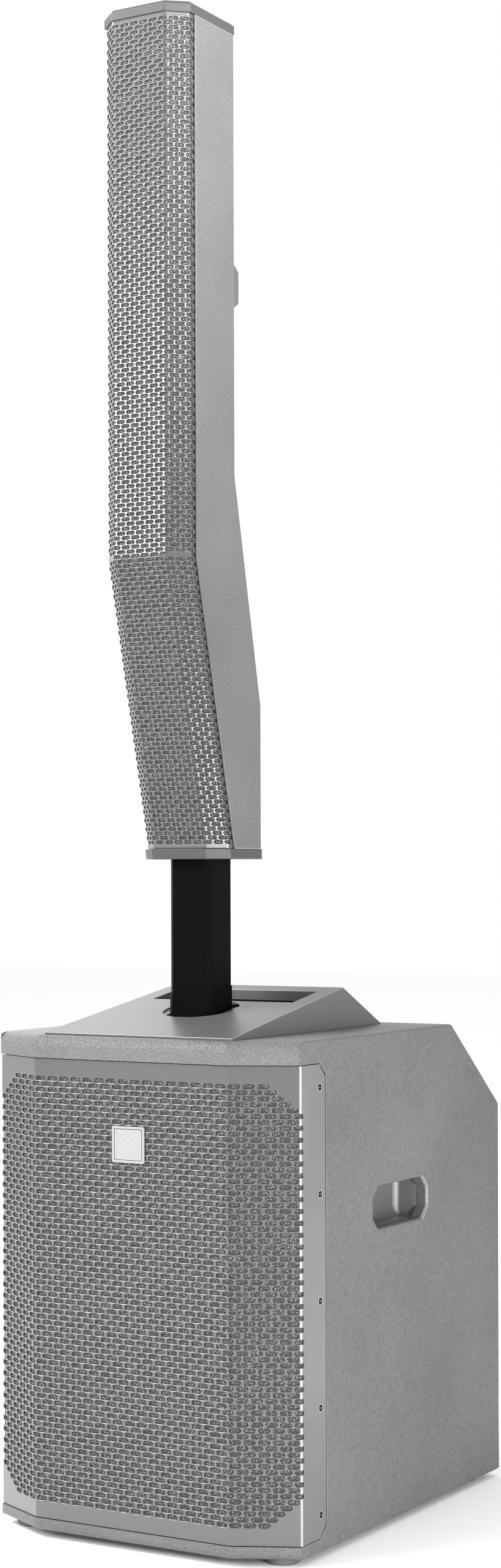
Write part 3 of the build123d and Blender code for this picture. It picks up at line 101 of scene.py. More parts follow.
def set_ramp(ramp, positions, colors):
    """Sets the two ends of a colour ramp."""
    for element, position, color in zip(ramp.color_ramp.elements, positions, colors):
        element.position = position
        element.color = [*color, 1]


def surface(name, color, spread=0.06, speck=400.0, rough=0.5, bumps=(), metallic=0.0, specular=0.5, coat=0.0):
    """A procedural finish: broad and fine colour variation, and one bump node per (scale, distance)."""
    mat = bpy.data.materials.new(name)
    mat.use_nodes = True
    tree = mat.node_tree
    shader = tree.nodes["Principled BSDF"]
    shader.inputs["Roughness"].default_value = rough
    shader.inputs["Metallic"].default_value = metallic
    shader.inputs["Specular IOR Level"].default_value = specular
    shader.inputs["Coat Weight"].default_value = coat
    coords = tree.nodes.new("ShaderNodeTexCoord")
    fine = noise(tree, coords, speck, 3.0)
    broad = noise(tree, coords, 6.0, 2.0)
    blend = tree.nodes.new("ShaderNodeMix")
    blend.data_type = "FLOAT"
    blend.inputs["Factor"].default_value = 0.35
    link(tree, fine.outputs["Fac"], blend.inputs["A"])
    link(tree, broad.outputs["Fac"], blend.inputs["B"])
    ramp = tree.nodes.new("ShaderNodeValToRGB")
    darker = [c * (1 - spread) for c in color]
    lighter = [min(1, c * (1 + spread)) for c in color]
    set_ramp(ramp, (0.38, 0.62), (darker, lighter))
    link(tree, blend.outputs["Result"], ramp.inputs["Fac"])
    link(tree, ramp.outputs["Color"], shader.inputs["Base Color"])
    last = None
    for scale, distance in bumps:
        grain = noise(tree, coords, scale, 2.0)
        grain.inputs["Roughness"].default_value = 0.55
        bump = tree.nodes.new("ShaderNodeBump")
        bump.inputs["Strength"].default_value = 1.0
        bump.inputs["Distance"].default_value = distance
        link(tree, grain.outputs["Fac"], bump.inputs["Height"])
        if last is not None:
            link(tree, last.outputs["Normal"], bump.inputs["Normal"])
        last = bump
    if last is not None:
        link(tree, last.outputs["Normal"], shader.inputs["Normal"])
    return mat


def grey(value):
    return (value, value, value)


def speckled(name):
    """Open-cell foam: small pale cell tips on a dark, rough ground."""
    mat = surface(name, grey(0.13), 0.5, 500, 0.6, [(520, 0.0014)], specular=0.5)
    tree = mat.node_tree
    ramp = next(n for n in tree.nodes if n.bl_idname == "ShaderNodeValToRGB")
    coords = next(n for n in tree.nodes if n.bl_idname == "ShaderNodeTexCoord")
    cells = tree.nodes.new("ShaderNodeTexVoronoi")
    cells.inputs["Scale"].default_value = 420
    cells.inputs["Randomness"].default_value = 0.8
    link(tree, coords.outputs["Object"], cells.inputs["Vector"])
    link(tree, cells.outputs["Distance"], ramp.inputs["Fac"])
    set_ramp(ramp, (0.12, 0.40), (grey(0.26), grey(0.034)))
    return mat


# Each finish: name, colour, spread of the colour, its fine scale, roughness, bumps as (scale, distance)
MATERIALS = {
    "paint": surface(
        "cabinet_paint", grey(0.110), 0.20, 300, 0.42, [(330, 0.00070), (900, 0.00015)], specular=0.25
    ),
    "lip": surface("lip_paint", grey(0.125), 0.20, 420, 0.36, [(300, 0.00260), (900, 0.00060)]),
    "grille": surface("grille_coat", grey(0.075), 0.06, 1500, 0.28, [(3000, 0.00002)], coat=1.0),
    # Painted highlight: a paler, glossier copy of the grille coat, for the sub grille's fold and the screw
    # rings.
    "painted_highlight": surface("painted_highlight", grey(0.30), 0.06, 900, 0.26, [(900, 0.00004)], coat=0.8),
    # Painted highlight: a paler copy of the cabinet paint, for the front-facing faces of the flare behind the
    # grille flange.
    "flare_highlight": surface("flare_highlight", grey(0.20), 0.16, 420, 0.30, [(600, 0.00020)]),
    "cap": surface("cap_plastic", grey(0.055), 0.08, 1200, 0.40, [(1500, 0.00008)], specular=0.35),
    # Painted highlight: a paler copy of the moulded plastic, for its rounded edges.
    "moulding_edge_highlight": surface("moulding_edge_highlight", grey(0.22), 0.08, 900, 0.30, [(1500, 0.00004)]),
    # Painted highlight: a paler copy of the column paint, for its rounded edges.
    "column_edge_highlight": surface("column_edge_highlight", grey(0.30), 0.08, 900, 0.30, [(1000, 0.00006)]),
    "cup": surface("cup_plastic", grey(0.135), 0.05, 1200, 0.36, [(900, 0.00004)]),
    # Painted highlight: a paler copy of the cup plastic, for the rounding at the bottom of the pocket.
    "cup_fillet_highlight": surface("cup_fillet_highlight", grey(0.28), 0.05, 1200, 0.36, [(900, 0.00004)]),
    "column_grille": surface(
        "column_grille_coat", grey(0.060), 0.06, 1500, 0.28, [(3000, 0.00002)], specular=0.6, coat=0.7
    ),
    "moulding": surface("moulded_plastic", grey(0.090), 0.08, 1200, 0.38, [(1500, 0.00008)]),
    "column": surface("column_paint", grey(0.125), 0.16, 420, 0.38, [(480, 0.00040)], specular=0.35),
    "foam": speckled("open_foam"),
    "gap": surface("shadow_gap", grey(0.050), 0.2, 900, 0.9, [(1500, 0.00002)], specular=0.05),
    "black": surface("black_plastic", grey(0.012), 0.15, 900, 0.45, [(1500, 0.00005)], specular=0.3),
    "pole": surface("black_powder_coat", grey(0.003), 0.35, 1400, 0.42, [(1300, 0.00012)], specular=0.02),
    "black_metal": surface("black_coat", grey(0.012), 0.2, 1400, 0.38, [(1500, 0.00005)], specular=0.4),
    "rubber": surface("rubber_grey", grey(0.13), 0.2, 900, 0.8, [(1200, 0.0001)], specular=0.2),
    "steel": surface("plated_steel", grey(0.55), 0.08, 500, 0.3, [(1500, 0.00003)], metallic=1.0),
    "brass": surface("plated_brass", (0.72, 0.56, 0.26), 0.08, 500, 0.28, [(1500, 0.00002)], metallic=1.0),
    "paper": surface("pressed_paper", (0.03, 0.03, 0.032), 0.25, 600, 0.7, [(500, 0.0002)]),
    "display": surface("display_glass", (0.006, 0.007, 0.009), 0.1, 200, 0.08, [(900, 0.000004)], coat=0.5),
    "rocker": surface("polished_black", grey(0.012), 0.1, 500, 0.15, [(900, 0.000005)]),
    "board": surface("circuit_board", (0.02, 0.10, 0.04), 0.3, 300, 0.4, [(400, 0.0001)]),
    "plywood": surface("plywood", (0.42, 0.31, 0.19), 0.25, 120, 0.6, [(300, 0.0002)]),
    "badge": surface("badge_metal", grey(0.31), 0.04, 300, 0.40, [(800, 0.00001)]),
    "screw": surface("screw_steel", grey(0.30), 0.15, 900, 0.30, [(1500, 0.00002)], metallic=0.9),
}

# The finish of each material slot, and of the two nodes whose finish differs from their slot's
SLOT_MATERIAL = {
    "painted_wood": "paint", "bare_wood": "plywood", "grille_metal": "grille", "black_foam": "foam",
    "grey_moulding": "moulding", "column_paint": "column", "black_plastic": "black",
    "contact_block": "black", "black_metal": "black_metal", "rubber": "rubber", "steel": "steel",
    "contact_brass": "brass", "paper": "paper", "display": "display", "rocker": "rocker", "board": "board",
}
OWN_FINISH = {"pole_socket": "pole", "grille_screws": "screw"}

# ---------------------------------------------------------------- mesh helpers

CREASE = 32  # edges that turn by more than this many degrees stay sharp
FINE_CREASE = 46  # the same, on the perforated sheets
SOFTENED_ANGLE = 28  # softened() rounds the edges that turn by more than this
SOFTENED_STEPS = 3


def object_from(name, bm, material):
    """Turns a bmesh into a linked object, smooth except along real edges."""
    bmesh.ops.recalc_face_normals(bm, faces=bm.faces)
    mark_sharp(bm, CREASE)
    mesh = bpy.data.meshes.new(name)
    bm.to_mesh(mesh)
    bm.free()
    obj = bpy.data.objects.new(name, mesh)
    bpy.context.scene.collection.objects.link(obj)
    obj.data.materials.append(MATERIALS[material])
    return obj


def mark_sharp(bm, degrees):
    """Shades every face smooth and marks the edges that turn by more than the given angle."""
    limit = radians(degrees)
    for face in bm.faces:
        face.smooth = True
    for edge in bm.edges:
        if len(edge.link_faces) == 2:
            edge.smooth = edge.calc_face_angle(0) < limit


def settle(obj):
    """Applies an object's modifiers to its mesh."""
    graph = bpy.context.evaluated_depsgraph_get()
    mesh = bpy.data.meshes.new_from_object(obj.evaluated_get(graph))
    obj.modifiers.clear()
    old = obj.data
    obj.data = mesh
    bpy.data.meshes.remove(old)
    return obj


def even_normals(obj):
    """Flat faces keep flat shading next to their rounded edges."""
    weighted = obj.modifiers.new("normals", "WEIGHTED_NORMAL")
    weighted.keep_sharp = True
    weighted.weight = 100
    return obj


def place(obj, body, slot, *nodes):
    """Gives a piece its body and hides the CAD nodes that it stands for; the slot is not used."""
    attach(obj, body)
    if nodes:
        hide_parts(*nodes)
    return obj


def prism(points, axis, start, end):
    """A bmesh prism: a closed outline of (a, b) points pushed along X, Y or Z from start to end."""
    bm = bmesh.new()
    loops = [[bm.verts.new(corner(axis, p, at)) for p in points] for at in (start, end)]
    join_loops(bm, loops)
    return bm


def corner(axis, point, at):
    """A prism's outline point (a, b) in space, at the given place on the prism's axis."""
    a, b = point
    return {"X": (at, a, b), "Y": (a, at, b), "Z": (a, b, at)}[axis]


def join_loops(bm, loops, capped=True):
    """Skins a row of closed loops and caps both ends."""
    count = len(loops[0])
    for one, two in zip(loops, loops[1:]):
        for i in range(count):
            j = (i + 1) % count
            bm.faces.new((one[i], one[j], two[j], two[i]))
    if capped:
        bm.faces.new(list(reversed(loops[0])))
        bm.faces.new(loops[-1])


def cut_away(obj, cutter_bm, material=None):
    """Subtracts a closed bmesh from an object; the cut faces may take their own material."""
    bmesh.ops.recalc_face_normals(cutter_bm, faces=cutter_bm.faces)
    mesh = bpy.data.meshes.new("cutter")
    cutter_bm.to_mesh(mesh)
    cutter_bm.free()
    cutter = bpy.data.objects.new("cutter", mesh)
    bpy.context.scene.collection.objects.link(cutter)
    boolean = obj.modifiers.new("cut", "BOOLEAN")
    boolean.operation = "DIFFERENCE"
    boolean.solver = "EXACT"
    boolean.object = cutter
    if material:
        mesh.materials.append(MATERIALS[material])
        boolean.material_mode = "TRANSFER"
    settle(obj)
    bpy.data.objects.remove(cutter)
    bpy.data.meshes.remove(mesh)


def softened(node, body, width, material, edge=None):
    """A copy of a CAD node with its edges rounded, standing for that node; the rounded edges may take a paler
    finish, a painted highlight.
    """
    bm = bmesh.new()
    bm.from_mesh(NODES[node].data)
    bmesh.ops.remove_doubles(bm, verts=bm.verts, dist=2e-6)
    bmesh.ops.dissolve_limit(bm, angle_limit=radians(0.6), verts=bm.verts, edges=bm.edges)
    limit = radians(SOFTENED_ANGLE)
    edges = [e for e in bm.edges if len(e.link_faces) == 2 and e.calc_face_angle(0) > limit]
    # The bevels' new faces take material 1, the edge finish, where one is given: a painted highlight.
    bmesh.ops.bevel(
        bm, geom=edges, offset=width, segments=SOFTENED_STEPS, profile=0.5, affect="EDGES",
        clamp_overlap=True, material=1 if edge else -1,
    )
    obj = object_from(node + "_finished", bm, material)
    if edge:
        obj.data.materials.append(MATERIALS[edge])
    even_normals(obj)
    return place(obj, body, SLOTS[node], node)


# ---------------------------------------------------------------- cabinet


def cabinet_outline(inset=0.0):
    """The cabinet seen from the side, as (y, z) points, moved inwards by inset."""
    slope = (TOP - SLANT_LOW_Z) / (BACK - SLANT_TOP_Y)
    shift = inset * (sqrt(1 + slope * slope) - slope)
    lift = inset * (sqrt(1 + 1 / (slope * slope)) - 1 / slope)
    return [
        (FRONT + inset, FLOOR + inset),
        (BACK - inset, FLOOR + inset),
        (BACK - inset, SLANT_LOW_Z - lift),
        (SLANT_TOP_Y - shift / slope, TOP - inset),
        (FRONT + inset, TOP - inset),
    ]


# How far each of the cabinet's outer edges is rounded
LIP_TOP_ROUND = 0.013
LIP_LOW_ROUND = 0.009
LIP_UPRIGHT_ROUND = 0.0058
SIDE_FRONT_ROUND = 0.0020
SLANT_TOP_ROUND = 0.0046
SLANT_LOW_ROUND = 0.0062
OTHER_ROUND = 0.003


def edge_round(middle, upright):
    """How far the outer edge with this middle point is rounded."""
    at_front = middle.y < SIDE_FRONT - 0.002
    across = abs(middle.x) < 0.001
    if upright and at_front:
        return LIP_UPRIGHT_ROUND
    if upright and middle.y < 0:
        return SIDE_FRONT_ROUND
    if at_front and middle.z > TOP - 0.001:
        return LIP_TOP_ROUND
    if at_front and middle.z < FLOOR + 0.001:
        return LIP_LOW_ROUND
    if across and abs(middle.z - TOP) < 0.001:
        return SLANT_TOP_ROUND
    if across and abs(middle.z - SLANT_LOW_Z) < 0.001:
        return SLANT_LOW_ROUND
    return OTHER_ROUND


def rounded_cabinet():
    """The cabinet's solid outer form with each edge rounded by its own amount."""
    bm = prism(cabinet_outline(), "X", -HALF, HALF)
    for side in (-1, 1):
        along = Vector((side * (HALF - FLAT), SIDE_FRONT - FRONT, 0))
        outward = Vector((side * along.y, -abs(along.x), 0)).normalized()
        bmesh.ops.bisect_plane(
            bm,
            geom=bm.verts[:] + bm.edges[:] + bm.faces[:],
            plane_co=(side * FLAT, FRONT, 0),
            plane_no=outward,
            clear_outer=True,
        )
        rim = [e for e in bm.edges if len(e.link_faces) == 1]
        bmesh.ops.contextual_create(bm, geom=rim)
    widest = LIP_TOP_ROUND
    weight = bm.edges.layers.float.new("bevel_weight_edge")
    for edge in bm.edges:
        one, two = (vert.co for vert in edge.verts)
        edge[weight] = edge_round((one + two) / 2, abs(one.z - two.z) > 0.2) / widest
    obj = object_from("cabinet_skin", bm, "paint")
    bevel = obj.modifiers.new("round", "BEVEL")
    bevel.limit_method = "WEIGHT"
    bevel.width = widest
    bevel.segments = 6
    bevel.miter_outer = "MITER_ARC"
    bevel.use_clamp_overlap = True
    return settle(obj)


def front_path(inset):
    """The grille's crease in plan as (x, y), and the slope of the facet beyond it, on the right."""
    run = Vector((HALF - FLAT, SIDE_FRONT - FRONT))
    inward = Vector((-run.y, run.x)).normalized()
    start = Vector((FLAT, FRONT)) + inward * inset
    slope = run.y / run.x
    crease = (start.x + (FRONT + inset - start.y) / slope, FRONT + inset)
    return crease, slope


CUT_GROWTH = 0.4  # a cut corner grows by this share of its outline's growth


def flange_outline(grow, front):
    """The grille's side flange as (y, z) points from front to rear, grown outwards by grow."""
    rear = FLANGE_BACK + grow
    cut_y, cut_z = FLANGE_CUT_Y + grow * CUT_GROWTH, FLANGE_CUT_Z + grow * CUT_GROWTH
    return [
        (front, LIP_LOW - grow),
        (rear - cut_y, LIP_LOW - grow),
        (rear, LIP_LOW - grow + cut_z),
        (rear, LIP_HIGH + grow - cut_z),
        (rear - cut_y, LIP_HIGH + grow),
        (front, LIP_HIGH + grow),
    ]


def flange_cutter(side, flare):
    """The rebate that takes the grille's side flange, or the small flare round its mouth."""
    bm = bmesh.new()
    depth = SHEET + 0.0022
    if flare:
        steps = [(-0.00035, 0.0), (-0.0001, 0.0005), (0, 0.0010), (0.001, 0.0016)]
    else:
        steps = [(-depth, 0.0), (0.001, 0.0)]
    loops = []
    for proud, extra in steps:
        points = flange_outline(GROOVE + extra, SIDE_FRONT - PAST)
        between = [(y, max(min(z, LIP_HIGH + extra), LIP_LOW - extra)) for y, z in points]
        loops.append([bm.verts.new((side * (HALF + proud), y, z)) for y, z in between])
    join_loops(bm, loops)
    return bm


def grille_recess_cutter():
    """Everything in front of the panels between the two lips."""
    crease, slope = front_path(INSET + SHEET + 0.012)
    edge_x = HALF + PAST
    edge_y = crease[1] + slope * (edge_x - crease[0])
    right = [(edge_x, FRONT - PAST), (edge_x, edge_y), crease]
    outline = right + [(-x, y) for x, y in reversed(right)]
    return prism(outline, "Z", LIP_LOW, LIP_HIGH)


def cut_rectangle(y0, y1, z0, z1, cut):
    """A rectangle with cut corners, as (y, z) points."""
    return [
        (y0 + cut, z0), (y1 - cut, z0), (y1, z0 + cut), (y1, z1 - cut),
        (y1 - cut, z1), (y0 + cut, z1), (y0, z1 - cut), (y0, z0 + cut),
    ]


CUP_LOW, CUP_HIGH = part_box("side_cup_right")
CUP_CUT, CUP_CORNER = 0.014, 0.006  # the cut corners of the hand cup's mouth, and their rounding
MOUTH_ROUND = 0.0034  # rounding of the wood at the mouth
MOUTH_INSET = 0.0016  # the mouth's narrowest part, inside the cup's box


def cup_outline(grow):
    """The hand cup's mouth as (y, z) points, grown outwards by grow."""
    y0, y1 = CUP_LOW.y - grow, CUP_HIGH.y + grow
    z0, z1 = CUP_LOW.z - grow, CUP_HIGH.z + grow
    return rounded_outline(cut_rectangle(y0, y1, z0, z1, CUP_CUT + grow * CUT_GROWTH), CUP_CORNER)


def rounded_outline(points, radius, steps=4):
    """A closed outline with every corner replaced by a short arc."""
    result = []
    count = len(points)
    for i, point in enumerate(points):
        here = Vector(point)
        before = (Vector(points[i - 1]) - here).normalized()
        after = (Vector(points[(i + 1) % count]) - here).normalized()
        half_turn = before.angle(after) / 2
        reach = radius / tan(half_turn)
        middle = here + (before + after).normalized() * (radius / sin(half_turn))
        start = here + before * reach - middle
        end = here + after * reach - middle
        for k in range(steps + 1):
            spoke = start.lerp(end, k / steps).normalized() * radius
            result.append(tuple(middle + spoke))
    return result


def cup_mouth_cutter(side):
    """The hole in the side for the hand cup, rounded towards the outside."""
    bm = bmesh.new()
    steps = [(HALF - 0.07, -MOUTH_INSET), (HALF - MOUTH_ROUND, -MOUTH_INSET)]
    for k in range(1, 7):
        angle = pi / 2 * k / 6
        grow = MOUTH_ROUND - MOUTH_INSET - MOUTH_ROUND * cos(angle)
        steps.append((HALF - MOUTH_ROUND * (1 - sin(angle)), grow))
    steps.append((HALF + 0.002, 0.0030))
    loops = [[bm.verts.new((side * x, y, z)) for y, z in cup_outline(grow)] for x, grow in steps]
    join_loops(bm, loops)
    return bm


SLANT_ANGLE = atan2(TOP - SLANT_LOW_Z, BACK - SLANT_TOP_Y)
SLANT_MIDDLE = Vector((0, (BACK + SLANT_TOP_Y) / 2, (TOP + SLANT_LOW_Z) / 2))
SLANT_TURN = (
    Matrix.Translation(SLANT_MIDDLE) @ Matrix.Rotation(pi, 4, "Z") @ Matrix.Rotation(SLANT_ANGLE, 4, "X")
)


def slant_block(half_x, half_y, depth):
    """A block sunk into the slanted rear panel from above it."""
    bm = box_block((-half_x, -half_y, -depth), (half_x, half_y, 2 * PAST))
    bmesh.ops.transform(bm, matrix=SLANT_TURN, verts=bm.verts)
    return bm


def box_block(a, b):
    """A box between two opposite corners."""
    return prism([(a[0], a[1]), (b[0], a[1]), (b[0], b[1]), (a[0], b[1])], "Z", a[2], b[2])


SINK_REST = 0.008  # width of the ledge under the heatsink's rim
PLATE_HALF_X, PLATE_HALF_Y, PLATE_DEPTH = 0.152, 0.059, 0.003  # the control plate's recess
PLATE_REST = 0.007  # width of the ledge under its rim
SLEEVE = 0.0048  # the pole's sleeve, round the pole
HOLLOW_FRONT = 0.04  # the cabinet is hollow from so far behind its front


def cut_openings(skin):
    """The openings for the heatsink, the control plate and the pole's sleeve."""
    a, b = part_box("heatsink")
    cut_away(
        skin,
        box_block(
            (a.x + SINK_REST, BACK - PANEL - PAST, a.z + SINK_REST),
            (b.x - SINK_REST, BACK + PAST, b.z - SINK_REST),
        ),
    )
    cut_away(skin, slant_block(PLATE_HALF_X, PLATE_HALF_Y, PLATE_DEPTH))
    cut_away(skin, slant_block(PLATE_HALF_X - PLATE_REST, PLATE_HALF_Y - PLATE_REST, 2 * PANEL))
    a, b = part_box("pole_tube")
    cut_away(
        skin,
        box_block((a.x - SLEEVE, a.y - SLEEVE, TOP - 2 * PANEL), (b.x + SLEEVE, b.y + SLEEVE, TOP + PAST)),
    )


def is_lip(polygon):
    """The coarsely painted fronts of the two lips."""
    c = polygon.center
    outside = c.z > LIP_HIGH or c.z < LIP_LOW
    return c.y < SIDE_FRONT - 0.001 and outside and abs(polygon.normal.z) < 0.95


def is_flare_highlight(polygon):
    """The flare behind the grille's side flange, where it faces the front: painted highlight."""
    c, facing = polygon.center, polygon.normal
    slanted = 0.12 < abs(facing.x) < 0.97 and facing.y < -0.15
    behind = abs(c.x) > HALF - 0.0035 and c.y > SIDE_FRONT + 0.01
    return slanted and behind and LIP_LOW - 0.003 < c.z < LIP_HIGH + 0.003


def cabinet():
    """The painted wooden cabinet in one piece, open where the grille, cups and panels sit."""
    skin = rounded_cabinet()
    inner = cabinet_outline(PANEL)
    for corner_index in (0, -1):
        inner[corner_index] = (FRONT + HOLLOW_FRONT, inner[corner_index][1])
    cut_away(skin, prism(inner, "X", PANEL - HALF, HALF - PANEL))
    cut_away(skin, grille_recess_cutter())
    for side in (-1, 1):
        # The rebate's cut faces take the dark shadow_gap finish: painted shade in the groove round the
        # flange.
        cut_away(skin, flange_cutter(side, False), "gap")
        cut_away(skin, flange_cutter(side, True))
        cut_away(skin, cup_mouth_cutter(side))
    cut_openings(skin)
    mesh = skin.data
    lip_index = len(mesh.materials)
    mesh.materials.append(MATERIALS["lip"])
    mesh.materials.append(MATERIALS["flare_highlight"])
    for polygon in mesh.polygons:
        if is_lip(polygon):
            polygon.material_index = lip_index
        # The flare's front-facing faces take the paler finish: a painted highlight.
        elif is_flare_highlight(polygon) and polygon.material_index == 0:
            polygon.material_index = lip_index + 1
    bm = bmesh.new()
    bm.from_mesh(mesh)
    mark_sharp(bm, CREASE)
    bm.to_mesh(mesh)
    bm.free()
    even_normals(skin)
    place(
        skin, SUB, "painted_wood",
        "top_panel", "bottom_panel", "side_panel_left", "side_panel_right", "rear_panel", "bevel_panel",
    )


# ---------------------------------------------------------------- perforated sheets


def foam_sheet(name, path, reach, depth, thickness, stations):
    """A foam sheet behind a bent path, through stations given as (height, backward shift)."""
    bm = bmesh.new()
    count = 48
    loops = []
    for z, back in stations:
        outer, inner = [], []
        for k in range(count + 1):
            u = reach * (2 * k / count - 1)
            point, normal = path.at(u)
            front = point - normal * depth
            rear = point - normal * (depth + thickness)
            outer.append(bm.verts.new((front.x, front.y + back, z)))
            inner.append(bm.verts.new((rear.x, rear.y + back, z)))
        loops.append(outer + inner[::-1])
    join_loops(bm, loops)
    return object_from(name, bm, "foam")


class BentPath:
    """A bent sheet's right half in plan: (x, y) corners joined by straight runs and small arcs.

    Its parts are (distance from the middle, length, start, direction there, angle turned)."""

    def __init__(self, corners, radius):
        self.parts = []
        here = Vector(corners[0])
        travelled = 0.0
        for i in range(1, len(corners)):
            target = Vector(corners[i])
            direction = (target - here).normalized()
            if i + 1 < len(corners):
                turned = (Vector(corners[i + 1]) - target).normalized()
                turn = direction.angle(turned)
                reach = radius * tan(turn / 2)
                end = target - direction * reach
                self.parts.append((travelled, (end - here).length, here, direction, 0.0))
                travelled += (end - here).length
                self.parts.append((travelled, radius * turn, end, direction, turn))
                travelled += radius * turn
                here = target + turned * reach
            else:
                self.parts.append((travelled, (target - here).length, here, direction, 0.0))
                travelled += (target - here).length
        self.radius = radius
        self.length = travelled

    def curved(self, steps):
        """Distances from the middle at which the sheet is cut so that its arcs come out round."""
        arcs = [(start, length) for start, length, _, _, turn in self.parts if turn]
        return [start + length * k / steps for start, length in arcs for k in range(steps + 1)]

    def fold(self):
        """The range of distances covered by the last arc."""
        start, length = [part[:2] for part in self.parts if part[4]][-1]
        return start, start + length

    def at(self, u):
        """The outer surface's point and outward normal at the distance u from the middle."""
        side = -1 if u < 0 else 1
        distance = abs(u)
        for start, length, origin, direction, turn in self.parts:
            if distance <= start + length + 1e-9 or (start, length) == self.parts[-1][:2]:
                break
        run = distance - start
        if turn:
            angle = turn * run / length
            left = Vector((-direction.y, direction.x))
            centre = origin + left * self.radius
            spoke = -left
            point = centre + rotated(spoke, angle) * self.radius
            normal = rotated(spoke, angle)
        else:
            point = origin + direction * run
            normal = Vector((direction.y, -direction.x))
        return Vector((side * point.x, point.y)), Vector((side * normal.x, normal.y))


def rotated(v, angle):
    """A vector in the plane, turned anticlockwise."""
    return Vector((v.x * cos(angle) - v.y * sin(angle), v.x * sin(angle) + v.y * cos(angle)))


# A hole's outline as shares of its half width and half height: one quarter, then its mirror images
HOLE_QUARTER = [(1.0, 0.0), (0.93, 0.48), (0.78, 0.86), (0.58, 1.0), (0.0, 1.0)]
HOLE_UPPER = HOLE_QUARTER + [(-x, y) for x, y in HOLE_QUARTER[-2::-1]]
HOLE = HOLE_UPPER + [(x, -y) for x, y in HOLE_UPPER[-2:0:-1]]
# The point of the cell's border that each point of the hole is joined to
BORDER_OF_HOLE = [0, 0, 1, 2, 3, 4, 5, 6, 6, 6, 7, 8, 9, 10, 11, 0]
BORDER_POINTS = 12


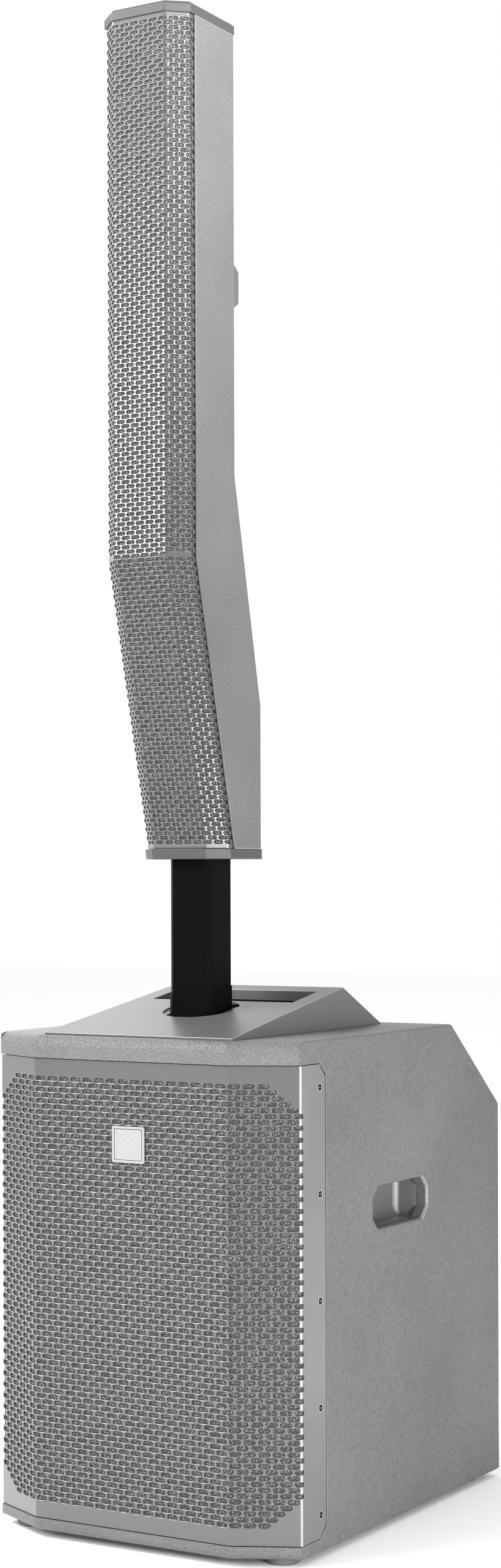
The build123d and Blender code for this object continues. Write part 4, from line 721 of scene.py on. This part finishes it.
class Perforated:
    """Builds a sheet with long holes flat (u across, s upwards), then bends it with locate.

    The cells are pitch wide and row high. A hole is given by half its width and half its height, and
    lip is how wide its rounded rim is."""

    def __init__(self, locate, thickness, pitch, row, half_hole, lip):
        self.locate = locate
        self.thickness = thickness
        self.half = pitch / 2
        self.rise = row / 2
        self.half_hole = half_hole
        self.lip = lip
        self.verts = []
        self.faces = []
        self.shared = {}
        self.edge_use = {}

    def vertex(self, u, s, depth):
        """Adds a vertex and gives its index."""
        self.verts.append((u, s, depth))
        return len(self.verts) - 1

    def both(self, u, s):
        """Front and back vertices of the sheet at a point shared between neighbouring cells."""
        key = (round(u * 1e6), round(s * 1e6))
        if key not in self.shared:
            self.shared[key] = (self.vertex(u, s, 0.0), self.vertex(u, s, self.thickness))
        return self.shared[key]

    def rim(self, points):
        """The vertices of a face's border; an edge used only once becomes part of the sheet's edge."""
        pairs = [self.both(*p) for p in points]
        for one, two in zip(pairs, pairs[1:] + pairs[:1]):
            forward, backward = (one[0], two[0]), (two[0], one[0])
            if backward in self.edge_use:
                del self.edge_use[backward]
            else:
                self.edge_use[forward] = (one, two)
        return pairs

    def plain(self, points):
        """A face without a hole, given anticlockwise as seen from the front."""
        pairs = self.rim(points)
        self.faces.append([p[0] for p in pairs])
        self.faces.append([p[1] for p in reversed(pairs)])

    def cell_points(self, u, s):
        """A cell's border, anticlockwise from the middle of its right side."""
        w, h = self.half, self.rise
        return [
            (u + w, s), (u + w, s + h), (u + w / 2, s + h), (u, s + h), (u - w / 2, s + h), (u - w, s + h),
            (u - w, s), (u - w, s - h), (u - w / 2, s - h), (u, s - h), (u + w / 2, s - h), (u + w, s - h),
        ]

    def solid_cell(self, u, s):
        """A cell without a hole, in strips so that it can bend across a crease."""
        w, h = self.half, self.rise
        for k in range(4):
            left, right = u - w + k * w / 2, u - w + (k + 1) * w / 2
            points = [(left, s - h), (right, s - h)]
            if k == 3:
                points.append((right, s))
            points += [(right, s + h), (left, s + h)]
            if k == 0:
                points.append((left, s))
            self.plain(points)

    def half_cell(self, u, s, side):
        """The plain half cell that fills up the end of a row; side is 1 on the right, -1 on the left."""
        w, h = self.half, self.rise
        a, b = (u - w, u) if side > 0 else (u, u + w)
        middle = (a + b) / 2
        low_side = [(a, s - h), (middle, s - h), (b, s - h)]
        high_side = [(b, s + h), (middle, s + h), (a, s + h)]
        self.plain(low_side + [(b, s)] + high_side + [(a, s)])

    def plain_band(self, reach, low_s, high_s):
        """A plain band from -reach to reach, in steps that meet the cells' border points."""
        step = self.half / 2
        for k in range(int(round(2 * reach / step))):
            a, b = -reach + k * step, -reach + (k + 1) * step
            self.plain([(a, low_s), (b, low_s), (b, high_s), (a, high_s)])

    def open_cell(self, u, s):
        """A cell round one hole: face, rounded rim, wall and back."""
        pairs = self.rim(self.cell_points(u, s))
        a, b = self.half_hole
        lip = self.lip
        profile = ((lip, 0.0), (lip * 0.45, lip * 0.18), (0.0, lip * 0.9), (0.0, self.thickness))
        rings = []
        for grow, depth in profile:
            rings.append([self.vertex(u + (a + grow) * x, s + (b + grow) * y, depth) for x, y in HOLE])
        self.skirt([p[0] for p in pairs], rings[0], False)
        self.skirt([p[1] for p in pairs], rings[-1], True)
        count = len(HOLE)
        for one, two in zip(rings, rings[1:]):
            for i in range(count):
                j = (i + 1) % count
                self.faces.append([one[i], one[j], two[j], two[i]][::-1])

    def skirt(self, outer, inner, flipped):
        """Faces between a cell's border and the rim of its hole."""
        count = len(inner)
        for i in range(count):
            j = (i + 1) % count
            a, b = BORDER_OF_HOLE[i], BORDER_OF_HOLE[j]
            steps = (b - a) % BORDER_POINTS
            border = [outer[(a + k) % BORDER_POINTS] for k in range(steps + 1)]
            loop = [inner[i]] + border + [inner[j]]
            self.faces.append(loop[::-1] if flipped else loop)

    def finished(self, name, material, across, along=(), polished=None):
        """The bent sheet, first cut at each distance across it and along it where it curves.

        Faces whose distance from the middle lies in the polished take a paler, glossier coat: a painted
        highlight on the fold."""
        for one, two in self.edge_use.values():
            self.faces.append([two[0], one[0], one[1], two[1]])
        mesh = bpy.data.meshes.new(name)
        mesh.from_pydata(self.verts, [], self.faces)
        mesh.validate()
        bm = bmesh.new()
        bm.from_mesh(mesh)
        planes = [(Vector((side * u, 0, 0)), Vector((1, 0, 0))) for u in across for side in (-1, 1)]
        planes += [(Vector((0, s, 0)), Vector((0, 1, 0))) for s in along]
        for point, normal in planes:
            bmesh.ops.bisect_plane(
                bm, geom=bm.verts[:] + bm.edges[:] + bm.faces[:], dist=1e-6, plane_co=point, plane_no=normal
            )
        # Painted highlight: faces in the range take material 1, the paler coat.
        if polished:
            for face in bm.faces:
                middle = face.calc_center_median()
                if polished[0] < abs(middle.x) < polished[1] and middle.z < self.thickness * 0.9:
                    face.material_index = 1
        for vert in bm.verts:
            vert.co = self.locate(*vert.co)
        bmesh.ops.recalc_face_normals(bm, faces=bm.faces)
        mark_sharp(bm, FINE_CREASE)
        bm.to_mesh(mesh)
        bm.free()
        obj = bpy.data.objects.new(name, mesh)
        bpy.context.scene.collection.objects.link(obj)
        mesh.materials.append(MATERIALS[material])
        if polished:
            mesh.materials.append(MATERIALS["painted_highlight"])
        return even_normals(obj)


SUB_FOLD_RADIUS = 0.0028
SUB_ROW, SUB_ROWS = 0.006375, 75
SUB_FIRST = 0.517  # height of the top row
SUB_CREASE_CELLS, SUB_CELLS = 8, 14  # pitches from the middle to the crease and to the last cell's end
SUB_HOLE, SUB_LIP = (0.0067, 0.00255), 0.0006
CUT_ROWS = 5  # so many rows at the top and at the bottom have fewer holes
FIRST_ROW_HOLES = 10.5  # the last hole of the outermost rows, in pitches from the middle


def sub_grille():
    """The cabinet's grille in two pieces, one above the other, with its folded side flanges."""
    crease, slope = front_path(INSET)
    fold = (HALF, crease[1] + slope * (HALF - crease[0]))
    path = BentPath([(0, crease[1]), crease, fold, (HALF, FLANGE_BACK)], SUB_FOLD_RADIUS)
    pitch = crease[0] / SUB_CREASE_CELLS
    row = SUB_ROW
    end = path.length
    side_u = SUB_CELLS * pitch

    def locate(u, s, depth):
        point, normal = path.at(u)
        inner = point - normal * depth
        return (inner.x, inner.y, s)

    def last_hole(index):
        """The last hole of a row, in pitches from the middle: the corners have none."""
        from_end = min(index, SUB_ROWS - 1 - index)
        return FIRST_ROW_HOLES + 0.5 * from_end if from_end < CUT_ROWS else SUB_CELLS - 1

    def side_strips(sheet, s):
        """The plain strips of one row beyond its last cells, round the fold and over the flanges."""
        low_s, high_s = s - row / 2, s + row / 2
        sheet.plain([(-end, low_s), (-side_u, low_s), (-side_u, s), (-side_u, high_s), (-end, high_s)])
        sheet.plain([(side_u, low_s), (end, low_s), (end, high_s), (side_u, high_s), (side_u, s)])

    def rows_between(sheet, start, stop):
        for index in range(start, stop):
            s = SUB_FIRST - index * row
            shift = 0.5 if index % 2 == 0 else 0.0
            last = SUB_CELLS - 1 + shift
            for k in range(int(round(2 * last)) + 1):
                position = -last + k
                cell = sheet.open_cell if abs(position) <= last_hole(index) + 0.01 else sheet.solid_cell
                cell(position * pitch, s)
            if not shift:
                sheet.half_cell(side_u, s, 1)
                sheet.half_cell(-side_u, s, -1)
            side_strips(sheet, s)

    def band(sheet, edge, outer, upward):
        """The plain strip above or below the rows, with the flanges' cut corners."""
        sheet.plain_band(side_u, min(edge, outer), max(edge, outer))
        sign = 1 if upward else -1
        for side in (-1, 1):
            points = [
                (side * side_u, edge),
                (side * end, edge),
                (side * end, outer - sign * FLANGE_CUT_Z),
                (side * (end - FLANGE_CUT_Y), outer),
                (side * side_u, outer),
            ]
            sheet.plain(points if side * sign > 0 else points[::-1])

    middle = SUB_ROWS // 2 + 1
    for name, start, stop in (("sub_grille_upper", 0, middle), ("sub_grille_lower", middle, SUB_ROWS)):
        sheet = Perforated(locate, SHEET, pitch, row, SUB_HOLE, SUB_LIP)
        rows_between(sheet, start, stop)
        if start == 0:
            band(sheet, SUB_FIRST + row / 2, LIP_HIGH - LIP_GAP, True)
        else:
            band(sheet, SUB_FIRST - (SUB_ROWS - 0.5) * row, LIP_LOW + LIP_GAP, False)
        # The fold round the sheet's side takes the paler coat: a painted highlight.
        obj = sheet.finished(name, "grille", path.curved(4), polished=path.fold())
        place(obj, SUB, "grille_metal", "sub_grille")
    foam_end = end - 0.043  # short of the fold and the flange
    stations = [(LIP_LOW + 0.002, 0), (LIP_HIGH - 0.002, 0)]
    foam = foam_sheet("sub_foam", path, foam_end, SHEET + 0.0002, 0.0035, stations)
    place(foam, SUB, "black_foam", "sub_grille_foam")


# ---------------------------------------------------------------- column grille

COL_BEND = 1.096  # height of the bend
LEAN = 0.2487  # backward shift below the bend for each unit of height
COL_FRONT = low("column_grille").y
COL_FLAT = 0.0346  # half the width of the flat front
COL_FOLD = high("column_grille").x
COL_FACET_BACK = 0.0189  # depth of the slanted facets
COL_FACET_END = 0.0585  # distance from the middle, along the sheet, to the end of the facet's cells
COL_FLANGE = 0.013
COL_RADIUS = 0.0025  # of its arcs in plan
COL_BEND_REACH = 0.004  # the bend is rounded so far above and below its height
COL_PITCH, COL_ROW, COL_CELLS = 0.01254, 0.005184, 6
COL_SHEET = 0.0012
COL_HOLE, COL_LIP = (0.0052, 0.00195), 0.00055


def column_grille():
    """The column's perforated front: one piece below the bend and two above it."""
    fold_y = COL_FRONT + COL_FACET_BACK
    path = BentPath(
        [(0, COL_FRONT), (COL_FLAT, COL_FRONT), (COL_FOLD, fold_y), (COL_FOLD, fold_y + COL_FLANGE)],
        COL_RADIUS,
    )
    top_edge = high("column_grille").z
    bottom_edge = low("column_grille").z
    stretch = sqrt(1 + LEAN * LEAN)
    side_u = COL_CELLS * COL_PITCH
    reach = COL_BEND_REACH

    def lean(s):
        """Height and backward shift of the front at the distance s, measured up the sheet."""
        below = COL_BEND - s
        if below <= -reach:
            return s, 0.0
        if below >= reach:
            return COL_BEND - below / stretch, below / stretch * LEAN
        share = (below + reach) / (2 * reach)
        drop = below - (1 - 1 / stretch) * reach * share * share
        return COL_BEND - drop, LEAN / stretch * reach * share * share

    def locate(u, s, depth):
        point, normal = path.at(u)
        inner = point - normal * depth
        z, back = lean(s)
        return (inner.x, inner.y + back, z)

    def row_of_cells(sheet, index):
        s = COL_BEND + (index + 0.5) * COL_ROW
        half_rows = index % 2 == 0
        last = COL_CELLS - 0.5 if half_rows else COL_CELLS - 1
        for k in range(int(round(2 * last)) + 1):
            u = (-last + k) * COL_PITCH
            on_facet = COL_FLAT + 0.002 < abs(u) < COL_FACET_END
            cell = sheet.solid_cell if index == 0 and on_facet else sheet.open_cell
            cell(u, s)
        if not half_rows:
            sheet.half_cell(side_u, s, 1)
            sheet.half_cell(-side_u, s, -1)

    top_rows = int((top_edge - COL_BEND) / COL_ROW)
    bottom_length = (COL_BEND - bottom_edge) * stretch
    bottom_rows = int(bottom_length / COL_ROW)
    halfway = top_rows // 2
    bend = [COL_BEND + reach * k / 2 for k in (-2, -1, 0, 1, 2)]
    spans = (
        ("column_grille_upper", halfway, top_rows),
        ("column_grille_middle", 0, halfway),
        ("column_grille_lower", -bottom_rows, 0),
    )
    for name, start, stop in spans:
        sheet = Perforated(locate, COL_SHEET, COL_PITCH, COL_ROW, COL_HOLE, COL_LIP)
        for index in range(start, stop):
            row_of_cells(sheet, index)
        if stop == top_rows:
            sheet.plain_band(side_u, COL_BEND + top_rows * COL_ROW, top_edge)
        if start < 0:
            sheet.plain_band(side_u, COL_BEND - bottom_length, COL_BEND + start * COL_ROW)
        obj = sheet.finished(name, "column_grille", path.curved(3), bend)
        place(obj, COLUMN, "grille_metal", "column_grille")
    heights = (bottom_edge + 0.001, COL_BEND, top_edge - 0.001)
    stations = [(z, max(0.0, COL_BEND - z) * LEAN) for z in heights]
    foam = foam_sheet("column_foam", path, path.length - 0.001, COL_SHEET + 0.0002, 0.0016, stations)
    place(foam, COLUMN, "black_foam", "column_grille_foam")


# ---------------------------------------------------------------- hand cups and small fittings

POCKET_CUT, POCKET_CORNER = 0.003, 0.0035  # the small corners of the pocket, and their rounding
POCKET_WALL = 0.003
POCKET_ROUND = 0.0095  # rounding where the pocket's walls meet its bottom
POCKET_INNER = 0.0018  # the pocket's inner wall, inside its outer one


def pocket_outline(shrink):
    """The pocket behind the hand cup's mouth as (y, z) points: a box with small corners."""
    y0, y1 = CUP_LOW.y + shrink, CUP_HIGH.y - shrink - 0.0014
    z0, z1 = CUP_LOW.z + shrink, CUP_HIGH.z - shrink
    return rounded_outline(cut_rectangle(y0, y1, z0, z1, POCKET_CUT), POCKET_CORNER)


def hand_cup(side, node):
    """A moulded cup: a deep box with a round bottom behind the hole in the wood, and a thin wall."""
    rim = HALF - PANEL
    bottom = CUP_LOW.x + POCKET_WALL
    steps = [
        (bottom - POCKET_WALL + 0.0002, 0.006),
        (bottom + 0.004, 0.0),
        (rim - 0.0004, 0.0),
        (rim - 0.0002, 0.0006),
        (rim - 0.0002, 0.0014),
        (rim - 0.0010, POCKET_INNER),
    ]
    for k in range(13):
        angle = pi / 2 * k / 12
        x = bottom + POCKET_ROUND - POCKET_ROUND * sin(angle)
        steps.append((x, POCKET_INNER + POCKET_ROUND * (1 - cos(angle))))
    bm = bmesh.new()
    loops = [[bm.verts.new((side * x, y, z)) for y, z in pocket_outline(shrink)] for x, shrink in steps]
    join_loops(bm, loops)
    obj = object_from(node + "_pocket", bm, "cup")
    obj.data.materials.append(MATERIALS["cup_fillet_highlight"])
    # Painted highlight: the rounding at the pocket's bottom, on faces turned to the front and outwards, takes
    # a paler finish.
    for polygon in obj.data.polygons:
        facing = polygon.normal
        at_bottom = abs(polygon.center.x) < bottom + POCKET_ROUND
        if at_bottom and facing.y < -0.4 and abs(facing.x) > 0.4:
            polygon.material_index = 1
    even_normals(obj)
    place(obj, SUB, "grey_moulding", node)


SCREWS, SCREW_STEP = 5, 0.1161  # down each side of the grille
# A ring's section as (radius in screw heads, height over the flange)
RING_PROFILE = [(1.02, -0.0006), (1.06, 0.0001), (1.16, 0.0003), (1.26, 0.0001), (1.32, -0.0006)]
RING_STEPS = 24


def screw_rings():
    """A pressed ring round each screw of the cabinet's grille."""
    first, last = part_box("grille_screws")
    head = (last.z - first.z) % SCREW_STEP / 2
    centre_y = last.y - head
    for side, name in ((1, "right"), (-1, "left")):
        bm = bmesh.new()
        for k in range(SCREWS):
            centre_z = first.z + head + k * SCREW_STEP
            loops = []
            for wide, proud in RING_PROFILE:
                ring = []
                for i in range(RING_STEPS):
                    angle = 2 * pi * i / RING_STEPS
                    y, z = centre_y + head * wide * cos(angle), centre_z + head * wide * sin(angle)
                    ring.append(bm.verts.new((side * (HALF + proud), y, z)))
                loops.append(ring)
            join_loops(bm, loops + [loops[0]], capped=False)
        # The rings take the paler, glossier coat: a painted highlight.
        place(object_from("screw_rings_" + name, bm, "painted_highlight"), SUB, "steel")


def badge_shadow_line():
    """A painted shadow: a fine dark ring, shaped like a groove, just inside the badge's raised border."""
    first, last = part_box("badge")
    border, width = 0.0027, 0.0006
    front = first.y + 0.00035
    back = front + 0.0003
    bm = bmesh.new()
    loops = []
    for inset, y in ((border, back), (border, front), (border + width, front), (border + width, back)):
        x0, x1, z0, z1 = first.x + inset, last.x - inset, first.z + inset, last.z - inset
        loops.append([bm.verts.new((x, y, z)) for x, z in ((x0, z0), (x1, z0), (x1, z1), (x0, z1))])
    join_loops(bm, loops + [loops[0]], capped=False)
    place(object_from("badge_shadow_line", bm, "gap"), SUB, "grey_moulding")


# ---------------------------------------------------------------- stage, lights and camera

FLOOR_HALF = 14.0

# Each light: place, target, width, height, power in watts, spread in degrees
LIGHTS = {
    "key": ((-1.75, -3.05, 1.80), (0, -0.2, 1.3), 1.1, 1.0, 50, 180),
    "left": ((-3.0, -0.5, 2.35), (0, -0.2, 1.75), 0.9, 1.3, 26, 180),
    "high_left": ((-2.2, -1.6, 3.2), (0, -0.2, 0.6), 1.7, 1.7, 150, 180),
    "upper_strip": ((1.25, -0.78, 1.80), (0.1, -0.2, 1.85), 0.14, 0.7, 8, 70),
    "lower_strip": ((1.25, -0.78, 0.32), (0.19, -0.2, 0.30), 0.20, 0.6, 15, 180),
    "rear_right": ((1.9, 1.75, 1.25), (0.1, 0, 0.8), 1.2, 2.3, 3, 180),
    "rear_left": ((-2.4, 2.2, 1.6), (0, 0, 0.8), 1.4, 2.0, 15, 180),
}

# The camera that the photo was fitted to; its angles are in degrees
CAMERA_PLACE = (1.5586, -2.6288, 0.7482)
CAMERA_HEADING, CAMERA_ROLL = 30.666, -0.178
CAMERA_SENSOR, CAMERA_LENS, CAMERA_SHIFT = 36.0, 59.05, 0.0557


def stage():
    """A plain pale floor under plain soft light."""
    bm = bmesh.new()
    bmesh.ops.create_grid(bm, x_segments=8, y_segments=8, size=FLOOR_HALF)
    mesh = bpy.data.meshes.new("floor")
    bm.to_mesh(mesh)
    bm.free()
    floor = bpy.data.objects.new("floor", mesh)
    bpy.context.scene.collection.objects.link(floor)
    paper = surface("floor_paper", grey(0.97), 0.005, 40, 0.9, [(200, 0.0001)], specular=0.1)
    floor.data.materials.append(paper)
    world = bpy.data.worlds.new("studio")
    world.use_nodes = True
    world.node_tree.nodes["Background"].inputs["Color"].default_value = (1, 1, 1, 1)
    world.node_tree.nodes["Background"].inputs["Strength"].default_value = 1.0
    bpy.context.scene.world = world


def area_light(name, location, target, width, height, power, spread):
    """A rectangular light that faces its target."""
    data = bpy.data.lights.new(name, "AREA")
    data.shape = "RECTANGLE"
    data.size = width
    data.size_y = height
    data.energy = power
    data.spread = radians(spread)
    light = bpy.data.objects.new(name, data)
    light.location = location
    aim = Vector(target) - Vector(location)
    light.rotation_euler = aim.to_track_quat("-Z", "Y").to_euler()
    bpy.context.scene.collection.objects.link(light)


def camera():
    """The camera at the photo's angle."""
    data = bpy.data.cameras.new("camera")
    data.sensor_width = CAMERA_SENSOR
    data.lens = CAMERA_LENS
    data.shift_y = CAMERA_SHIFT
    data.clip_end = 100
    obj = bpy.data.objects.new("camera", data)
    obj.location = CAMERA_PLACE
    heading = Matrix.Rotation(radians(CAMERA_HEADING), 4, "Z") @ Matrix.Rotation(pi / 2, 4, "X")
    obj.rotation_euler = (heading @ Matrix.Rotation(radians(CAMERA_ROLL), 4, "Z")).to_euler()
    bpy.context.scene.collection.objects.link(obj)
    bpy.context.scene.camera = obj


# ---------------------------------------------------------------- build


# CAD nodes that are shown with rounded edges: node, body, rounding, finish, finish of the edges (a paler
# painted highlight, or None)
SOFTENED = (
    ("top_moulding", SUB, 0.0012, "moulding", "moulding_edge_highlight"),
    ("column_body", COLUMN, 0.0013, "column", "column_edge_highlight"),
    ("column_top_cap", COLUMN, 0.0008, "cap", None),
    ("column_bottom_cap", COLUMN, 0.0008, "cap", None),
    ("column_grip", COLUMN, 0.0012, "moulding", "moulding_edge_highlight"),
    ("pole_tube", POLE, 0.0004, "pole", None),
    ("badge", SUB, 0.0002, "badge", None),
    ("rubber_feet", SUB, 0.0006, "rubber", None),
    ("control_plate", SUB, 0.0003, "black_metal", None),
    ("heatsink", SUB, 0.0003, "black_metal", None),
)


def paint_cad_nodes():
    """Every CAD node gets its own finish or that of its material slot."""
    for node, slot in SLOTS.items():
        mesh = NODES[node].data
        mesh.materials.clear()
        mesh.materials.append(MATERIALS[OWN_FINISH.get(node) or SLOT_MATERIAL[slot]])


paint_cad_nodes()
cabinet()
sub_grille()
column_grille()
hand_cup(1, "side_cup_right")
hand_cup(-1, "side_cup_left")
screw_rings()
badge_shadow_line()
for choice in SOFTENED:
    softened(*choice)
stage()
for light_name, setting in LIGHTS.items():
    area_light(light_name, *setting)
camera()
bpy.context.scene.view_settings.view_transform = "Standard"
